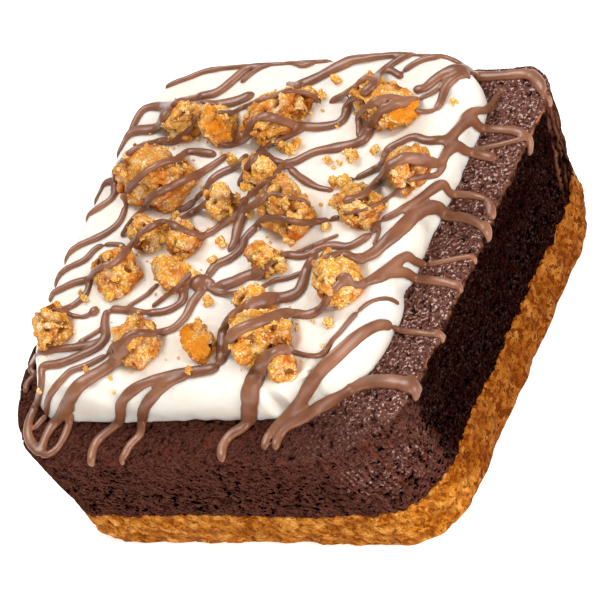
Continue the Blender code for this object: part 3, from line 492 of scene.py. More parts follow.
class Shader:
    """A material's node tree, built from expressions."""

    def __init__(self, name: str) -> None:
        """Makes an empty material that reads the piece's own coordinates.

        Args:
            name: the material's name.
        """
        self.material = bpy.data.materials.new(name)
        self.material.use_nodes = True
        self.tree = self.material.node_tree
        self.tree.nodes.clear()
        self.place = self.signal("ShaderNodeTexCoord", output="Object")

    def node(
        self, kind: str, settings: dict | None = None, values: dict | None = None
    ) -> bpy.types.Node:
        """Adds a node.

        Args:
            kind: the node's type.
            settings: the node's own properties, which are set first.
            values: numbers, colours or signals for its input sockets, by name or number.

        Returns:
            The node.
        """
        made = self.tree.nodes.new(kind)
        for key, value in (settings or {}).items():
            setattr(made, key, value)
        for key, value in (values or {}).items():
            socket = made.inputs[key]
            if isinstance(value, Signal):
                self.tree.links.new(value.socket, socket)
            elif isinstance(value, tuple) and len(value) < len(socket.default_value):
                socket.default_value = (*value, 1)
            else:
                socket.default_value = value
        return made

    def signal(
        self,
        kind: str,
        settings: dict | None = None,
        values: dict | None = None,
        output: int | str = 0,
    ) -> Signal:
        """Adds a node as node() does, and returns the signal of one of its outputs."""
        return Signal(self, self.node(kind, settings, values).outputs[output])

    def maths(self, operation: str, a: Value, b: Value) -> Signal:
        """Returns the result of a Math node."""
        return self.signal("ShaderNodeMath", {"operation": operation}, {0: a, 1: b})

    def blend(self, share: Value, a: Value, b: Value) -> Signal:
        """Returns the colour at a share of the way from colour a to colour b."""
        values = {"Factor": share, 6: a, 7: b}
        return self.signal("ShaderNodeMix", {"data_type": "RGBA"}, values, 2)

    def mark(self, mark: Mark) -> Signal:
        """Returns one of the marks on the mesh's points."""
        return self.signal("ShaderNodeAttribute", {"attribute_name": mark.value}, output="Fac")

    def moved(self, seed: float, stretch: Triple) -> Signal:
        """Returns the coordinates, shifted by a seed and stretched along the axes."""
        values = {"Location": (seed * 0.37, seed * 0.19, seed * 0.53), "Scale": stretch}
        return self.signal("ShaderNodeMapping", {}, {"Vector": self.place, **values})

    def noise(
        self, size: float, seed: float = 0, detail: float = 2, stretch: Triple = (1, 1, 1)
    ) -> Signal:
        """Returns noise from 0 to 1 with features of a size in millimetres."""
        values = {"Vector": self.moved(seed, stretch), "Scale": 1 / (size * MM), "Detail": detail}
        return self.signal("ShaderNodeTexNoise", {}, values)

    def grains(self, size: float, seed: float = 0, output: str = "Distance") -> Signal:
        """Returns the distance to packed grains of a size in millimetres, or their random colour."""
        values = {"Vector": self.moved(seed, (1, 1, 1)), "Scale": 1 / (size * MM)}
        return self.signal("ShaderNodeTexVoronoi", {}, values, output)

    def bump(self, height: Signal, depth: float) -> Signal:
        """Returns a normal roughened by a height, whose full swing is a depth in millimetres."""
        return self.signal("ShaderNodeBump", {}, {"Height": height, "Distance": depth * MM})

    def specks(self, size: float, seed: float) -> Signal:
        """Returns a random number from 0 to 1 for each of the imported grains."""
        colour = self.grains(size, seed, "Color")
        return self.signal("ShaderNodeSeparateColor", {}, {"Color": colour})

    def coated(self, colour: Value, *coats: tuple[Value, Value]) -> Value:
        """Blends coats over a colour, one after another.

        Args:
            colour: what lies under them.
            coats: how much of each one shows, and its colour.

        Returns:
            The colour that comes out.
        """
        for share, coat in coats:
            colour = self.blend(share, colour, coat)
        return colour

    def finish(self, values: dict) -> bpy.types.Material:
        """Ends the material with a Principled shader.

        Args:
            values: numbers, colours or signals for the shader's sockets.

        Returns:
            The material.
        """
        surface = self.signal("ShaderNodeBsdfPrincipled", {}, values)
        self.node("ShaderNodeOutputMaterial", {}, {"Surface": surface})
        return self.material


class Finish(Protocol):
    """What a piece is dressed in."""

    def make(self) -> bpy.types.Material:
        """Returns the material."""


@dataclass(frozen=True)
class MilkChocolate:
    """Set milk chocolate: satin, in soft clouds of paler and darker brown."""

    dark: Colour = tinted(110, 63, 40)
    light: Colour = tinted(149, 97, 67)
    roughness: float = 0.3
    cloud: float = 5.0
    ripple: float = 1.6

    def make(self) -> bpy.types.Material:
        """Mixes the finish.

        Returns:
            The material.
        """
        shader = Shader("milk_chocolate")
        cloud = shader.noise(self.cloud, 1)
        fine = shader.noise(0.7, 2)
        colour = shader.blend(cloud.ease(0.3, 0.7) * 0.7 + fine * 0.3, self.dark, self.light)
        ripple = shader.noise(self.ripple, 3, 1)
        return shader.finish(
            {
                "Base Color": colour,
                "Roughness": fine * 0.14 + self.roughness,
                "IOR": 1.5,
                "Coat Weight": 0.1,
                "Coat Roughness": 0.22,
                "Normal": shader.bump(ripple, 0.06),
            }
        )


@dataclass(frozen=True)
class WhippedMarshmallow:
    """Smooth white foam that lets some light in, with painted warm shade near the chunks and painted
    shade in its creases.
    """

    white: Colour = tinted(246, 239, 229)
    cream: Colour = tinted(242, 230, 215)
    peach: Colour = tinted(240, 200, 156)
    crease_shade: Colour = tinted(164, 144, 126)
    roughness: float = 0.45
    depth: float = 1.8

    def make(self) -> bpy.types.Material:
        """Mixes the finish.

        Returns:
            The material.
        """
        shader = Shader("whipped_marshmallow")
        ripple = shader.noise(3.5, 5, 2)
        pores = shader.noise(0.5, 6, 1).ease(0.62, 0.8)
        colour = shader.coated(
            self.white,
            (shader.noise(9.0, 4).ease(0.4, 0.75), self.cream),
            # Painted warm shade near the chunks
            (shader.mark(Mark.TONE) * 0.4, self.peach),
            # Painted shade in the creases
            (shader.mark(Mark.PIT), self.crease_shade),
        )
        return shader.finish(
            {
                "Base Color": colour,
                "Roughness": ripple * 0.12 + self.roughness,
                "Subsurface Weight": 0.6,
                "Subsurface Radius": (1.0, 0.75, 0.55),
                "Subsurface Scale": self.depth * MM,
                "Normal": shader.bump(ripple - pores * 0.12, 0.25),
            }
        )


@dataclass(frozen=True)
class BrokenBiscuit:
    """Sugary golden crumb: deep amber to pale grains, amber breaks and browned outsides, with painted
    shade on the sides, undersides, in the crevices and along the grains' edges.
    """

    golden: Colour = tinted(255, 201, 84)
    pale: Colour = tinted(255, 243, 194)
    deep: Colour = tinted(204, 100, 8)
    crevice_shade: Colour = tinted(96, 22, 0)
    amber: Colour = tinted(220, 128, 6)
    toasted: Colour = tinted(162, 68, 6)
    roughness: float = 0.5
    grain: float = 0.3

    def make(self) -> bpy.types.Material:
        """Mixes the finish.

        Returns:
            The material.
        """
        shader = Shader("broken_biscuit")
        crystal = shader.grains(self.grain, 7)
        speck = shader.specks(self.grain, 7)
        fine = shader.noise(0.3, 8, 2)
        soaked = shader.noise(2.4, 9, 3)
        tone = shader.mark(Mark.TONE)
        colour = shader.coated(
            self.deep,
            (tone.ease(0.05, 0.45), self.golden),
            (tone.ease(0.5, 0.85) * 0.8, self.pale),
            (speck.ease(0.62, 0.9) * 0.8, self.pale),
            (speck.ease(0.3, 0.05) * 0.3, self.deep),
            # Toast colour, with painted shade on the sides and undersides
            (shader.mark(Mark.TOAST) * 0.8, self.toasted),
            (soaked.ease(0.5, 0.66) * 0.65, self.deep),
            # Painted shade in the crevices and along the grains' edges
            (shader.mark(Mark.PIT) * 0.85, self.crevice_shade),
            (crystal.ease(0.45, 0.75) * 0.5, self.deep),
            (shader.mark(Mark.AMBER) * 0.85, self.amber),
        )
        gleam = speck.ease(0.75, 0.9) * fine.ease(0.4, 0.6)
        return shader.finish(
            {
                "Base Color": colour,
                "Roughness": self.roughness - gleam * 0.3,
                "Specular IOR Level": 0.06,
                "Normal": shader.bump(fine * 0.6 - crystal, 0.18),
            }
        )


@dataclass(frozen=True)
class PressedCrumb:
    """Crushed biscuit pressed with butter into a crust, with painted shade in its pits and holes and on
    its right side.
    """

    golden: Colour = tinted(192, 118, 34)
    pale: Colour = tinted(224, 156, 76)
    deep: Colour = tinted(134, 63, 5)
    shaded: Colour = tinted(112, 48, 2)
    roughness: float = 0.62
    grain: float = 0.5

    def make(self) -> bpy.types.Material:
        """Mixes the finish.

        Returns:
            The material.
        """
        shader = Shader("pressed_crumb")
        grain = shader.grains(self.grain, 13)
        speck = shader.specks(self.grain, 13)
        fine = shader.noise(0.4, 12, 2)
        dusk = shader.mark(Mark.DUSK)
        tone = shader.mark(Mark.TONE) * 0.4 + speck * 0.35 + fine * 0.25
        holes = (shader.noise(1.0, 14, 2) + dusk * 0.05).ease(0.6, 0.64)
        colour = shader.coated(
            self.deep,
            (tone.ease(0.2, 0.5), self.golden),
            (tone.ease(0.5, 0.8), self.pale),
            # Painted shade between the nodules, in the holes and on the right side
            (shader.mark(Mark.PIT) * 0.7, self.deep),
            (dusk * 0.55 + holes * 0.6, self.shaded),
        )
        sugar = speck.ease(0.88, 0.96)
        return shader.finish(
            {
                "Base Color": colour,
                "Roughness": self.roughness - sugar * 0.25,
                "Specular IOR Level": 0.03,
                "Normal": shader.bump(fine - grain * 0.9 - holes * 0.6, 0.4),
            }
        )


@dataclass(frozen=True)
class BakedBrownie:
    """Dark chocolate sponge: a grainy rim with painted sheen and glints on its right part, a porous cut
    face with painted shade in its pores, and a wet, very dark side that is partly painted shade.
    """

    brown: Colour = tinted(46, 16, 10)
    light: Colour = tinted(95, 58, 48)
    red: Colour = tinted(98, 34, 20)
    pore_shade: Colour = tinted(4, 0, 0)
    moist_and_shaded: Colour = tinted(9, 0, 0)
    russet: Colour = tinted(120, 62, 44)
    tan: Colour = tinted(204, 132, 90)
    painted_sheen: Colour = tinted(124, 82, 72)
    painted_glint: Colour = tinted(214, 178, 166)
    roughness: float = 0.75

    def make(self) -> bpy.types.Material:
        """Mixes the finish.

        Returns:
            The material.
        """
        shader = Shader("baked_brownie")
        crumb = shader.noise(0.6, 15, 3)
        fine = shader.noise(0.27, 16, 2)
        dusk = shader.mark(Mark.DUSK)
        glint = shader.mark(Mark.GLINT)
        porous = shader.mark(Mark.TONE)
        # The right part of the rim gets a painted sheen and painted glints, the glints with a coat
        sheen_patches = shader.noise(0.55, 18, 3).ease(0.38, 0.6)
        shine = shader.noise(0.45, 19, 2).ease(0.55, 0.68) * glint
        # Slits and small pores are painted very dark: painted shade inside the holes
        slits = (shader.noise(1.0, 20, 1, (1, 1, 1.35)) + porous * 0.09).ease(0.7, 0.72)
        small_pore_shade = (shader.noise(0.65, 22, 1, (1, 1, 1.3)) + porous * 0.06).ease(0.71, 0.73)
        # The right face's very dark colour: partly its wet cut crumb, partly painted shade
        damp_and_shaded = shader.blend(fine.ease(0.55, 0.75) * 0.28, self.moist_and_shaded, self.red)
        crest = shader.blend(dusk, self.russet, self.tan)
        colour = shader.coated(
            self.brown,
            ((crumb * 0.45 + fine * 0.55).ease(0.34, 0.66), self.light),
            (shader.noise(2.6, 17, 2).ease(0.55, 0.78) * 0.25, self.red),
            (dusk * 0.97, damp_and_shaded),
            (glint * sheen_patches * 0.8, self.painted_sheen),
            (shine * 0.8, self.painted_glint),
            (slits + small_pore_shade, self.pore_shade),
            (shader.mark(Mark.PIT), self.pore_shade),
            (shader.mark(Mark.CREST) * 0.85, crest),
        )
        return shader.finish(
            {
                "Base Color": colour,
                "Roughness": self.roughness - glint * 0.25,
                "Specular IOR Level": 0.0,
                "Coat Weight": shine * 0.5,
                "Coat Roughness": 0.3,
                "Normal": shader.bump(crumb * 0.6 + fine - slits * 0.6, 0.25),
            }
        )


@dataclass(frozen=True)
class Outline:
    """A rounded rectangle whose corners may be ovals."""

    left: float
    right: float
    front: float
    back: float
    corners: Sequence[tuple[float, float]]

    def at(self, way: float) -> Vector:
        """Finds a point of the outline.

        Args:
            way: how far round, from 0 in the middle of the right side to ROUND, anticlockwise.

        Returns:
            The point, at height 0.
        """
        way = (way + SIDE_SHARE // 2) % ROUND
        quarter = min(int(way // QUARTER), 3)
        step = way - quarter * QUARTER
        ends = (
            (self.right, self.back, -1, -1),
            (self.left, self.back, 1, -1),
            (self.left, self.front, 1, 1),
            (self.right, self.front, -1, 1),
        )
        (rx0, ry0), (rx1, ry1) = self.corners[quarter - 1], self.corners[quarter]
        x0, y0, in_x0, in_y0 = ends[quarter - 1]
        x1, y1, in_x1, in_y1 = ends[quarter]
        if step >= SIDE_SHARE:
            turn = (quarter + (step - SIDE_SHARE) / CORNER_SHARE) * math.pi / 2
            across = rx1 * (in_x1 + math.cos(turn))
            return Vector((x1 + across, y1 + ry1 * (in_y1 + math.sin(turn)), 0))
        if quarter % 2 == 0:
            start = Vector((x0, y0 + in_y0 * ry0, 0))
            end = Vector((x1, y1 + in_y1 * ry1, 0))
        else:
            start = Vector((x0 + in_x0 * rx0, y0, 0))
            end = Vector((x1 + in_x1 * rx1, y1, 0))
        return start.lerp(end, step / SIDE_SHARE)


def inset(point: Vector, distance: float) -> Vector:
    """Returns a point moved towards the middle."""
    return point * (1 - distance / point.length)


def bar_outline(way: float, z: float) -> Vector:
    """Finds a point of the outline of crust and brownie, which draw in towards the base.

    Args:
        way: how far round.
        z: its height, which the outline depends on.

    Returns:
        The point, at height 0.
    """
    t = z / BAR_HEIGHT
    side = BAR_HALF - DRAFT_SIDE * (1 - t)
    front = BAR_HALF - DRAFT_FRONT * (1 - t)
    pairs = zip(BAR_CORNERS_BASE, BAR_CORNERS_TOP)
    corners = tuple((mix(a[0], b[0], t), mix(a[1], b[1], t)) for a, b in pairs)
    return Outline(-side, side, -front, front, corners).at(way)


def seam_point(way: float) -> Vector:
    """Finds a point of the wavy line where the brownie meets the crust.

    Args:
        way: how far round.

    Returns:
        The point.
    """
    edge = bar_outline(way, CRUST_HEIGHT)
    wave = rough(edge, *SEAM_WAVES)
    torn = 1 + 1.2 * ease(24, 36, edge.x)
    tatter = rough(edge, *SEAM_TATTERS)
    dip = SEAM_DIP * hump(way, FRONT_LEFT_WAY, DIP_WAY)
    edge.z = CRUST_HEIGHT + CRUST_WAVE * wave - dip + tatter * torn
    return edge


def topping_outline(way: float) -> Vector:
    """Finds a point of the marshmallow's outline, which bulges at the right, near the front.

    Args:
        way: how far round.

    Returns:
        The point, at height 0.
    """
    outline = Outline(TOPPING_LEFT, TOPPING_RIGHT, TOPPING_FRONT, TOPPING_BACK, TOPPING_CORNERS)
    point = outline.at(way)
    bulge = TOPPING_BULGE * hump(point.y, -15, 7) * max(0.0, point.x / TOPPING_RIGHT)
    wobble = rough(point, TOPPING_WOBBLE)
    return point * (1 + (bulge + wobble) / point.length)


def lean_in(way: float, height: float) -> float:
    """Returns how far in the marshmallow's wall leans at a height over the brownie."""
    return TOPPING_LEAN * hump(way, FRONT_LEFT_WAY, LEAN_WAY) * height / TOPPING_THICKNESS


@dataclass(frozen=True)
class Spot:
    """Where a point of a drum is: its way round, its level from base to top, and its ring inwards."""

    way: float
    level: int
    ring: int


Relief = Callable[[Vector, Vector], tuple[float, dict[Mark, float]]]


def carve(bm: bmesh.types.BMesh, marks: Sequence[Mark], relief: Relief) -> None:
    """Moves each point along its normal, and marks it.

    Args:
        bm: the mesh.
        marks: the marks that its points get.
        relief: gives a point's rise and marks from its place and normal.
    """
    bmesh.ops.recalc_face_normals(bm, faces=bm.faces)
    bm.normal_update()
    layers = {mark: bm.verts.layers.float.new(mark.value) for mark in marks}
    for vertex in bm.verts:
        rise, marked = relief(vertex.co, vertex.normal)
        for mark, value in marked.items():
            vertex[layers[mark]] = value
        vertex.co += vertex.normal * rise


@dataclass(frozen=True)
class Drum:
    """A closed drum that a layer of the bar is shaped from."""

    columns: int
    levels: int
    top_rings: int
    base_rings: int
    ring_step: float = 0.012

    def cast(self) -> bmesh.types.BMesh:
        """Casts the plain drum.

        Returns:
            The drum, one unit wide and high, with rings stepping in on both ends.
        """
        bm = bmesh.new()
        bmesh.ops.create_cone(
            bm, cap_ends=True, segments=self.columns, radius1=1, radius2=1, depth=1
        )
        upright = [e for e in bm.edges if abs(e.verts[0].co.z - e.verts[1].co.z) > 0.5]
        bmesh.ops.subdivide_edges(bm, edges=upright, cuts=self.levels - 1, use_grid_fill=True)
        for rings, side in ((self.top_rings, 1), (self.base_rings, -1)):
            for _ in range(rings):
                caps = (f for f in bm.faces if len(f.verts) == self.columns)
                ends = [f for f in caps if f.normal.z * side > 0.5]
                bmesh.ops.inset_individual(bm, faces=ends, thickness=self.ring_step)
        return bm

    def layer(
        self, place: Callable[[Spot], Vector], marks: Sequence[Mark], relief: Relief
    ) -> bmesh.types.BMesh:
        """Shapes a layer of the bar from the drum.

        Args:
            place: gives the place of a spot.
            marks: the marks that the layer's points get.
            relief: gives a point's rise and marks from its place and normal.

        Returns:
            The layer.
        """
        bm = self.cast()
        for vertex in bm.verts:
            turn = math.atan2(vertex.co.y, vertex.co.x) / (2 * math.pi)
            column = round(turn * self.columns) % self.columns
            level = round((vertex.co.z + 0.5) * self.levels)
            ring = round((1 - vertex.co.xy.length) / self.ring_step)
            vertex.co = place(Spot(column * ROUND / self.columns, level, ring))
        carve(bm, marks, relief)
        return bm


def meshed(bm: bmesh.types.BMesh, name: str) -> bpy.types.Mesh:
    """Turns a bmesh into a mesh.

    Args:
        bm: the bmesh, which is used up.
        name: the mesh's name.

    Returns:
        The mesh.
    """
    mesh = bpy.data.meshes.new(name)
    bm.to_mesh(mesh)
    bm.free()
    return mesh


def set_down(name: str, data: bpy.types.ID) -> bpy.types.Object:
    """Puts a mesh, a lamp or a camera in the scene.

    Args:
        name: the object's name.
        data: what it holds.

    Returns:
        The object.
    """
    thing = bpy.data.objects.new(name, data)
    bpy.context.scene.collection.objects.link(thing)
    return thing


@dataclass
class Kitchen:
    """Turns meshes into finished pieces, and keeps the material of each finish."""

    materials: dict[str, bpy.types.Material] = field(default_factory=dict)

    def material(self, finish: Finish) -> bpy.types.Material:
        """Mixes a finish, but only once.

        Args:
            finish: the finish.

        Returns:
            Its material.
        """
        kind = type(finish).__name__
        if kind not in self.materials:
            self.materials[kind] = finish.make()
        return self.materials[kind]

    def serve(
        self,
        name: str,
        bm: bmesh.types.BMesh,
        finish: Finish,
        slot: Slot,
        nodes: Iterable[str],
        crisp: bool = False,
    ) -> bpy.types.Object:
        """Makes a piece that rides on the bar.

        Args:
            name: the piece's name.
            bm: its mesh in millimetres, which is used up.
            finish: what it is dressed in.
            slot: a slot for its finish; not used.
            nodes: the solids that it stands for.
            crisp: whether some faces keep their flat shading.

        Returns:
            The piece.
        """
        bmesh.ops.scale(bm, vec=(MM, MM, MM), verts=bm.verts)
        if not crisp:
            for face in bm.faces:
                face.smooth = True
        mesh = meshed(bm, name)
        mesh.materials.append(self.material(finish))
        piece = set_down(name, mesh)
        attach(piece, BODY)
        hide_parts(*nodes)
        triangles = sum(len(face.vertices) - 2 for face in mesh.polygons)
        LOG.info("%s: %d triangles", name, triangles)
        return piece


@dataclass
class CrumbCrust:
    """The pressed crust under the brownie."""

    drum: Drum = Drum(720, 24, 1, 14)
    top_step: float = 4.0
    base_step: float = 0.6
    swell: float = 0.25
    lumps: Sequence[Triple] = ((0.5, 3.2, 4), (0.3, 7, 5))
    nodule: float = 1.7
    nodule_height: float = 0.36
    grain: float = 0.85
    grain_height: float = 0.24
    hole: float = 1.9
    hole_depth: float = 0.45

    def place(self, spot: Spot) -> Vector:
        """Finds a spot's place before the relief.

        Args:
            spot: where it is on the drum.

        Returns:
            Its place.
        """
        seam = seam_point(spot.way)
        if spot.level == self.drum.levels:
            return inset(seam, self.top_step * spot.ring)
        rise = spot.level / self.drum.levels
        z = rise * seam.z
        point = bar_outline(spot.way, z)
        if spot.level == 0:
            point = inset(point, BASE_ROUNDING + self.base_step * spot.ring)
            bulge = 0.0
        else:
            corner = max(0.0, 1 - z / BASE_ROUNDING)
            point = inset(point, BASE_ROUNDING * (1 - math.sqrt(1 - corner**2)))
            bulge = self.swell * math.sin(math.pi * rise) + rough(lifted(point, z), *self.lumps)
        spread = CRUST_SPREAD * (1 - rise) * max(0.0, point.x / BAR_HALF)
        point = inset(point, -spread - bulge)
        point.z = z
        return point

    def relief(self, point: Vector, normal: Vector) -> tuple[float, dict[Mark, float]]:
        """Raises packed crumbs and sinks holes at a point.

        Args:
            point: its place.
            normal: the way out there.

        Returns:
            Its rise, and its marks.
        """
        shift = Vector((smooth_noise(point, 1.5, 41), smooth_noise(point, 1.5, 42), 0)) * 0.4
        far, tone = grains(point + shift, self.nodule, 1)
        near, _ = grains(point, self.grain, 2)
        hole = ease(0.34, 0.6, smooth_noise(point, self.hole, 43))
        rise = self.nodule_height * (0.55 - far) + self.grain_height * (0.5 - near)
        rise -= self.hole_depth * hole
        side = ease(0.9, 0.5, -normal.z) * ease(0.05, 0.6, point.z)
        # Gaps between the nodules and holes are marked for painted shade, and the right side too
        pit = max(ease(0.45, 0.8, far), hole)
        dusk = ease(30, 35, point.x) * ease(-30, -20, point.y)
        return rise * side, {Mark.PIT: pit, Mark.TONE: tone, Mark.DUSK: dusk}

    def build(self, kitchen: Kitchen) -> bpy.types.Object:
        """Makes the crust.

        Args:
            kitchen: where it is finished.

        Returns:
            The piece.
        """
        bm = self.drum.layer(self.place, (Mark.PIT, Mark.TONE, Mark.DUSK), self.relief)
        for vertex in bm.verts:
            vertex.co.z = max(vertex.co.z, 0.0)
        return kitchen.serve("crumb_crust", bm, PressedCrumb(), Slot.CRUST, ["biscuit_crust"])


@dataclass
class BrownieLayer:
    """The brownie, with its porous sides, sharp lip and grainy rim.

    Each scratch is given by how far round it starts at the lip, and by its drift for each
    millimetre down.
    """

    drum: Drum = Drum(840, 50, 30, 1)
    overlap: float = 0.25
    base_step: float = 4.0
    lip: float = 0.35
    soft_lip: float = 3.0
    hidden: float = 2.5
    crags: Sequence[Triple] = ((0.35, 4, 6), (0.25, 9, 7))
    rim_grain: Sequence[Triple] = ((0.14, 1.1, 51), (0.16, 0.55, 52))
    side_grain: Sequence[Triple] = ((0.06, 1.2, 64), (0.05, 0.6, 65))
    torn_grain: Sequence[Triple] = ((0.4, 1.9, 66), (0.25, 0.9, 67))
    facing_up: float = 0.72
    rim_pit_depth: float = 0.35
    chip_height: float = 0.25
    crest_height: float = 0.15
    scuff_height: float = 0.25
    slit_depth: float = 0.55
    pore_depth: float = 0.25
    chip: tuple[float, float] = (5.6, -33.8)
    scratches: Route = (
        (66.7, 0.1), (67.0, 0.11), (69.9, 0.05),
        (8.6, -0.22), (9.0, -0.17), (9.4, -0.12), (9.8, -0.08), (10.2, -0.04), (11.2, 0.0),
    )
    scratch_depth: float = 0.35
    scratch_width: float = 0.09

    def lip_rounding(self, way: float) -> float:
        """Returns the rounding of the lip, which is worn soft at the front right corner."""
        worn = ease(65.4, 68.0, way) * (1 - ease(73.0, 75.2, way))
        return mix(self.lip, self.soft_lip, worn)

    def place(self, spot: Spot) -> Vector:
        """Finds a spot's place before the relief.

        Args:
            spot: where it is on the drum.

        Returns:
            Its place.
        """
        seam = seam_point(spot.way)
        if spot.level == 0:
            seam.z -= self.overlap
            return inset(seam, self.base_step * spot.ring)
        z = mix(seam.z - self.overlap, BAR_HEIGHT, spot.level / self.drum.levels)
        point = bar_outline(spot.way, z)
        seen = lifted(point, z)
        point = inset(point, -rough(seen, *self.crags))
        rounding = self.lip_rounding(spot.way)
        if spot.level < self.drum.levels:
            turned = clamp(1 - (BAR_HEIGHT - z) / rounding)
            point = inset(point, rounding * (1 - math.sqrt(1 - turned**2)))
            point.z = z
            return point
        inner = inset(topping_outline(spot.way), self.hidden)
        share = (spot.ring / self.drum.top_rings) ** 1.1
        point = inset(point, rounding).lerp(inner, share)
        point.z = BAR_HEIGHT + 0.25 * smooth_noise(seen, 4, 8) * ease(0, 0.1, share)
        return point

    def relief(self, point: Vector, normal: Vector) -> tuple[float, dict[Mark, float]]:
        """Roughens the rim or a side at a point.

        Args:
            point: its place.
            normal: the way out there.

        Returns:
            Its rise, and its marks.
        """
        if normal.z > self.facing_up:
            return self.rim_relief(point)
        return self.side_relief(point, normal)

    def rim_relief(self, point: Vector) -> tuple[float, dict[Mark, float]]:
        """Roughens the rim with baked grain and small pits.

        Args:
            point: its place.

        Returns:
            Its rise, and its marks.
        """
        # Small pits in the rim, marked for painted shade
        pit = ease(0.34, 0.5, smooth_noise(point, 1.0, 53))
        # The right part of the rim is marked for painted sheen and glints
        glint = ease(14, 32, point.x) * (0.25 + 0.75 * ease(-33, -27, point.y))
        away = (point.xy - Vector(self.chip)).length + 0.6 * smooth_noise(point, 0.9, 54)
        chip = ease(2.4, 1.4, away)
        pit *= 1 - chip
        marks = {Mark.PIT: pit * 0.9, Mark.GLINT: glint, Mark.TONE: -1.0, Mark.CREST: 0.16 * chip}
        rise = rough(point, *self.rim_grain) - self.rim_pit_depth * pit
        return rise + self.chip_height * chip, marks

    def side_relief(self, point: Vector, normal: Vector) -> tuple[float, dict[Mark, float]]:
        """Roughens a side with level slits and pores, and tears the lip.

        Args:
            point: its place.
            normal: the way out there.

        Returns:
            Its rise, and its marks.
        """
        right = ease(34, 36, point.x)
        # The right face, marked for its wet-looking torn crumb and for painted shade
        dusk = right * ease(-27.5, -24.5, point.y) * (1 - 0.6 * ease(28, 31, point.y))
        flat = Vector((point.x, point.y, point.z * 1.4))
        patch = 0.5 + 0.5 * smooth_noise(point, 6, 61)
        dense = (0.3 + 0.7 * hump(point.z, 13, 5)) * (0.5 + patch)
        start = 0.5 - 0.18 * dense
        slit = ease(start, start + 0.07, smooth_noise(flat, 0.95, 62))
        pore = ease(0.36, 0.44, smooth_noise(flat, 0.75, 63))
        rise = rough(point, *self.side_grain)
        rise += dusk * rough(point, *self.torn_grain)
        rise -= self.slit_depth * slit * (1 - 0.5 * dusk) + self.pore_depth * pore
        sharp = self.lip / 2 if normal.z < 0.3 else 0
        crest = hump(point.z, BAR_HEIGHT - sharp, mix(0.28, 0.32, right))
        crest *= 1 - ease(26, 29, point.x) * ease(-24, -27, point.y)
        crest *= 0.5 + 1.3 * smooth_noise(point, 1.1, 68)
        scuff = self.scuff(point)
        rise += self.crest_height * crest
        rise += self.scuff_height * scuff
        # The slits and pores are marked for painted shade
        pit = min(1.0, slit + 0.7 * pore) * (1 - crest)
        # The scuff gets painted highlights over its rough wear, and the right face sparse painted
        # glints
        marks = {
            Mark.PIT: pit * (1 - scuff),
            Mark.CREST: clamp(crest),
            Mark.DUSK: dusk,
            Mark.GLINT: 0.6 * scuff + 0.08 * dusk * patch,
            Mark.TONE: dense,
        }
        return rise, marks

    def scuff(self, point: Vector) -> float:
        """Roughens the front right corner in streaks that lean with the scratches.

        Args:
            point: where.

        Returns:
            How rough it is there, from 0 to 1.
        """
        if point.x < 25 or point.y > -26:
            return 0.0
        at = ease(25, 29, point.x) * ease(-26, -30, point.y) * hump(point.z, 16, 4)
        across = (self.way_of(point) - 0.06 * (BAR_HEIGHT - point.z)) * 5
        streak = smooth_noise(Vector((across, point.z * 0.3, 0)), 1, 70)
        return at * ease(-0.2, 0.25, streak)

    def scratch(self, bm: bmesh.types.BMesh) -> None:
        """Draws the scratches that a knife left near the right corners.

        Args:
            bm: the brownie.
        """
        crest = bm.verts.layers.float[Mark.CREST.value]
        for vertex in bm.verts:
            fall = BAR_HEIGHT - vertex.co.z
            if fall < 0.4 or vertex.co.x < 20:
                continue
            way = self.way_of(vertex.co)
            near = min((way - at - drift * fall for at, drift in self.scratches), key=abs)
            vertex.co = inset(vertex.co, self.scratch_depth * hump(near, 0, self.scratch_width))
            patchy = 0.55 + 0.8 * smooth_noise(vertex.co, 2.2, 69)
            side = hump(near, 0.12, 0.08) * patchy * ease(15.5, 9, fall)
            side *= 0.45 if vertex.co.y > 0 else 1
            vertex[crest] = max(vertex[crest], min(1.0, side))

    def way_of(self, point: Vector) -> float:
        """Finds about how far round the outline a point near a right corner is.

        Args:
            point: where.

        Returns:
            The way.
        """
        back = point.y > 0
        away = point - Vector((24.0, 24.0 if back else -24.0, 0))
        turn = math.atan2(away.y, away.x) / (math.pi / 2) * CORNER_SHARE
        return 6 + turn if back else 75 + turn

    def build(self, kitchen: Kitchen) -> bpy.types.Object:
        """Makes the brownie.

        Args:
            kitchen: where it is finished.

        Returns:
            The piece.
        """
        marks = (Mark.PIT, Mark.CREST, Mark.DUSK, Mark.GLINT, Mark.TONE)
        bm = self.drum.layer(self.place, marks, self.relief)
        self.scratch(bm)
        return kitchen.serve("brownie_layer", bm, BakedBrownie(), Slot.BROWNIE, ["brownie"])


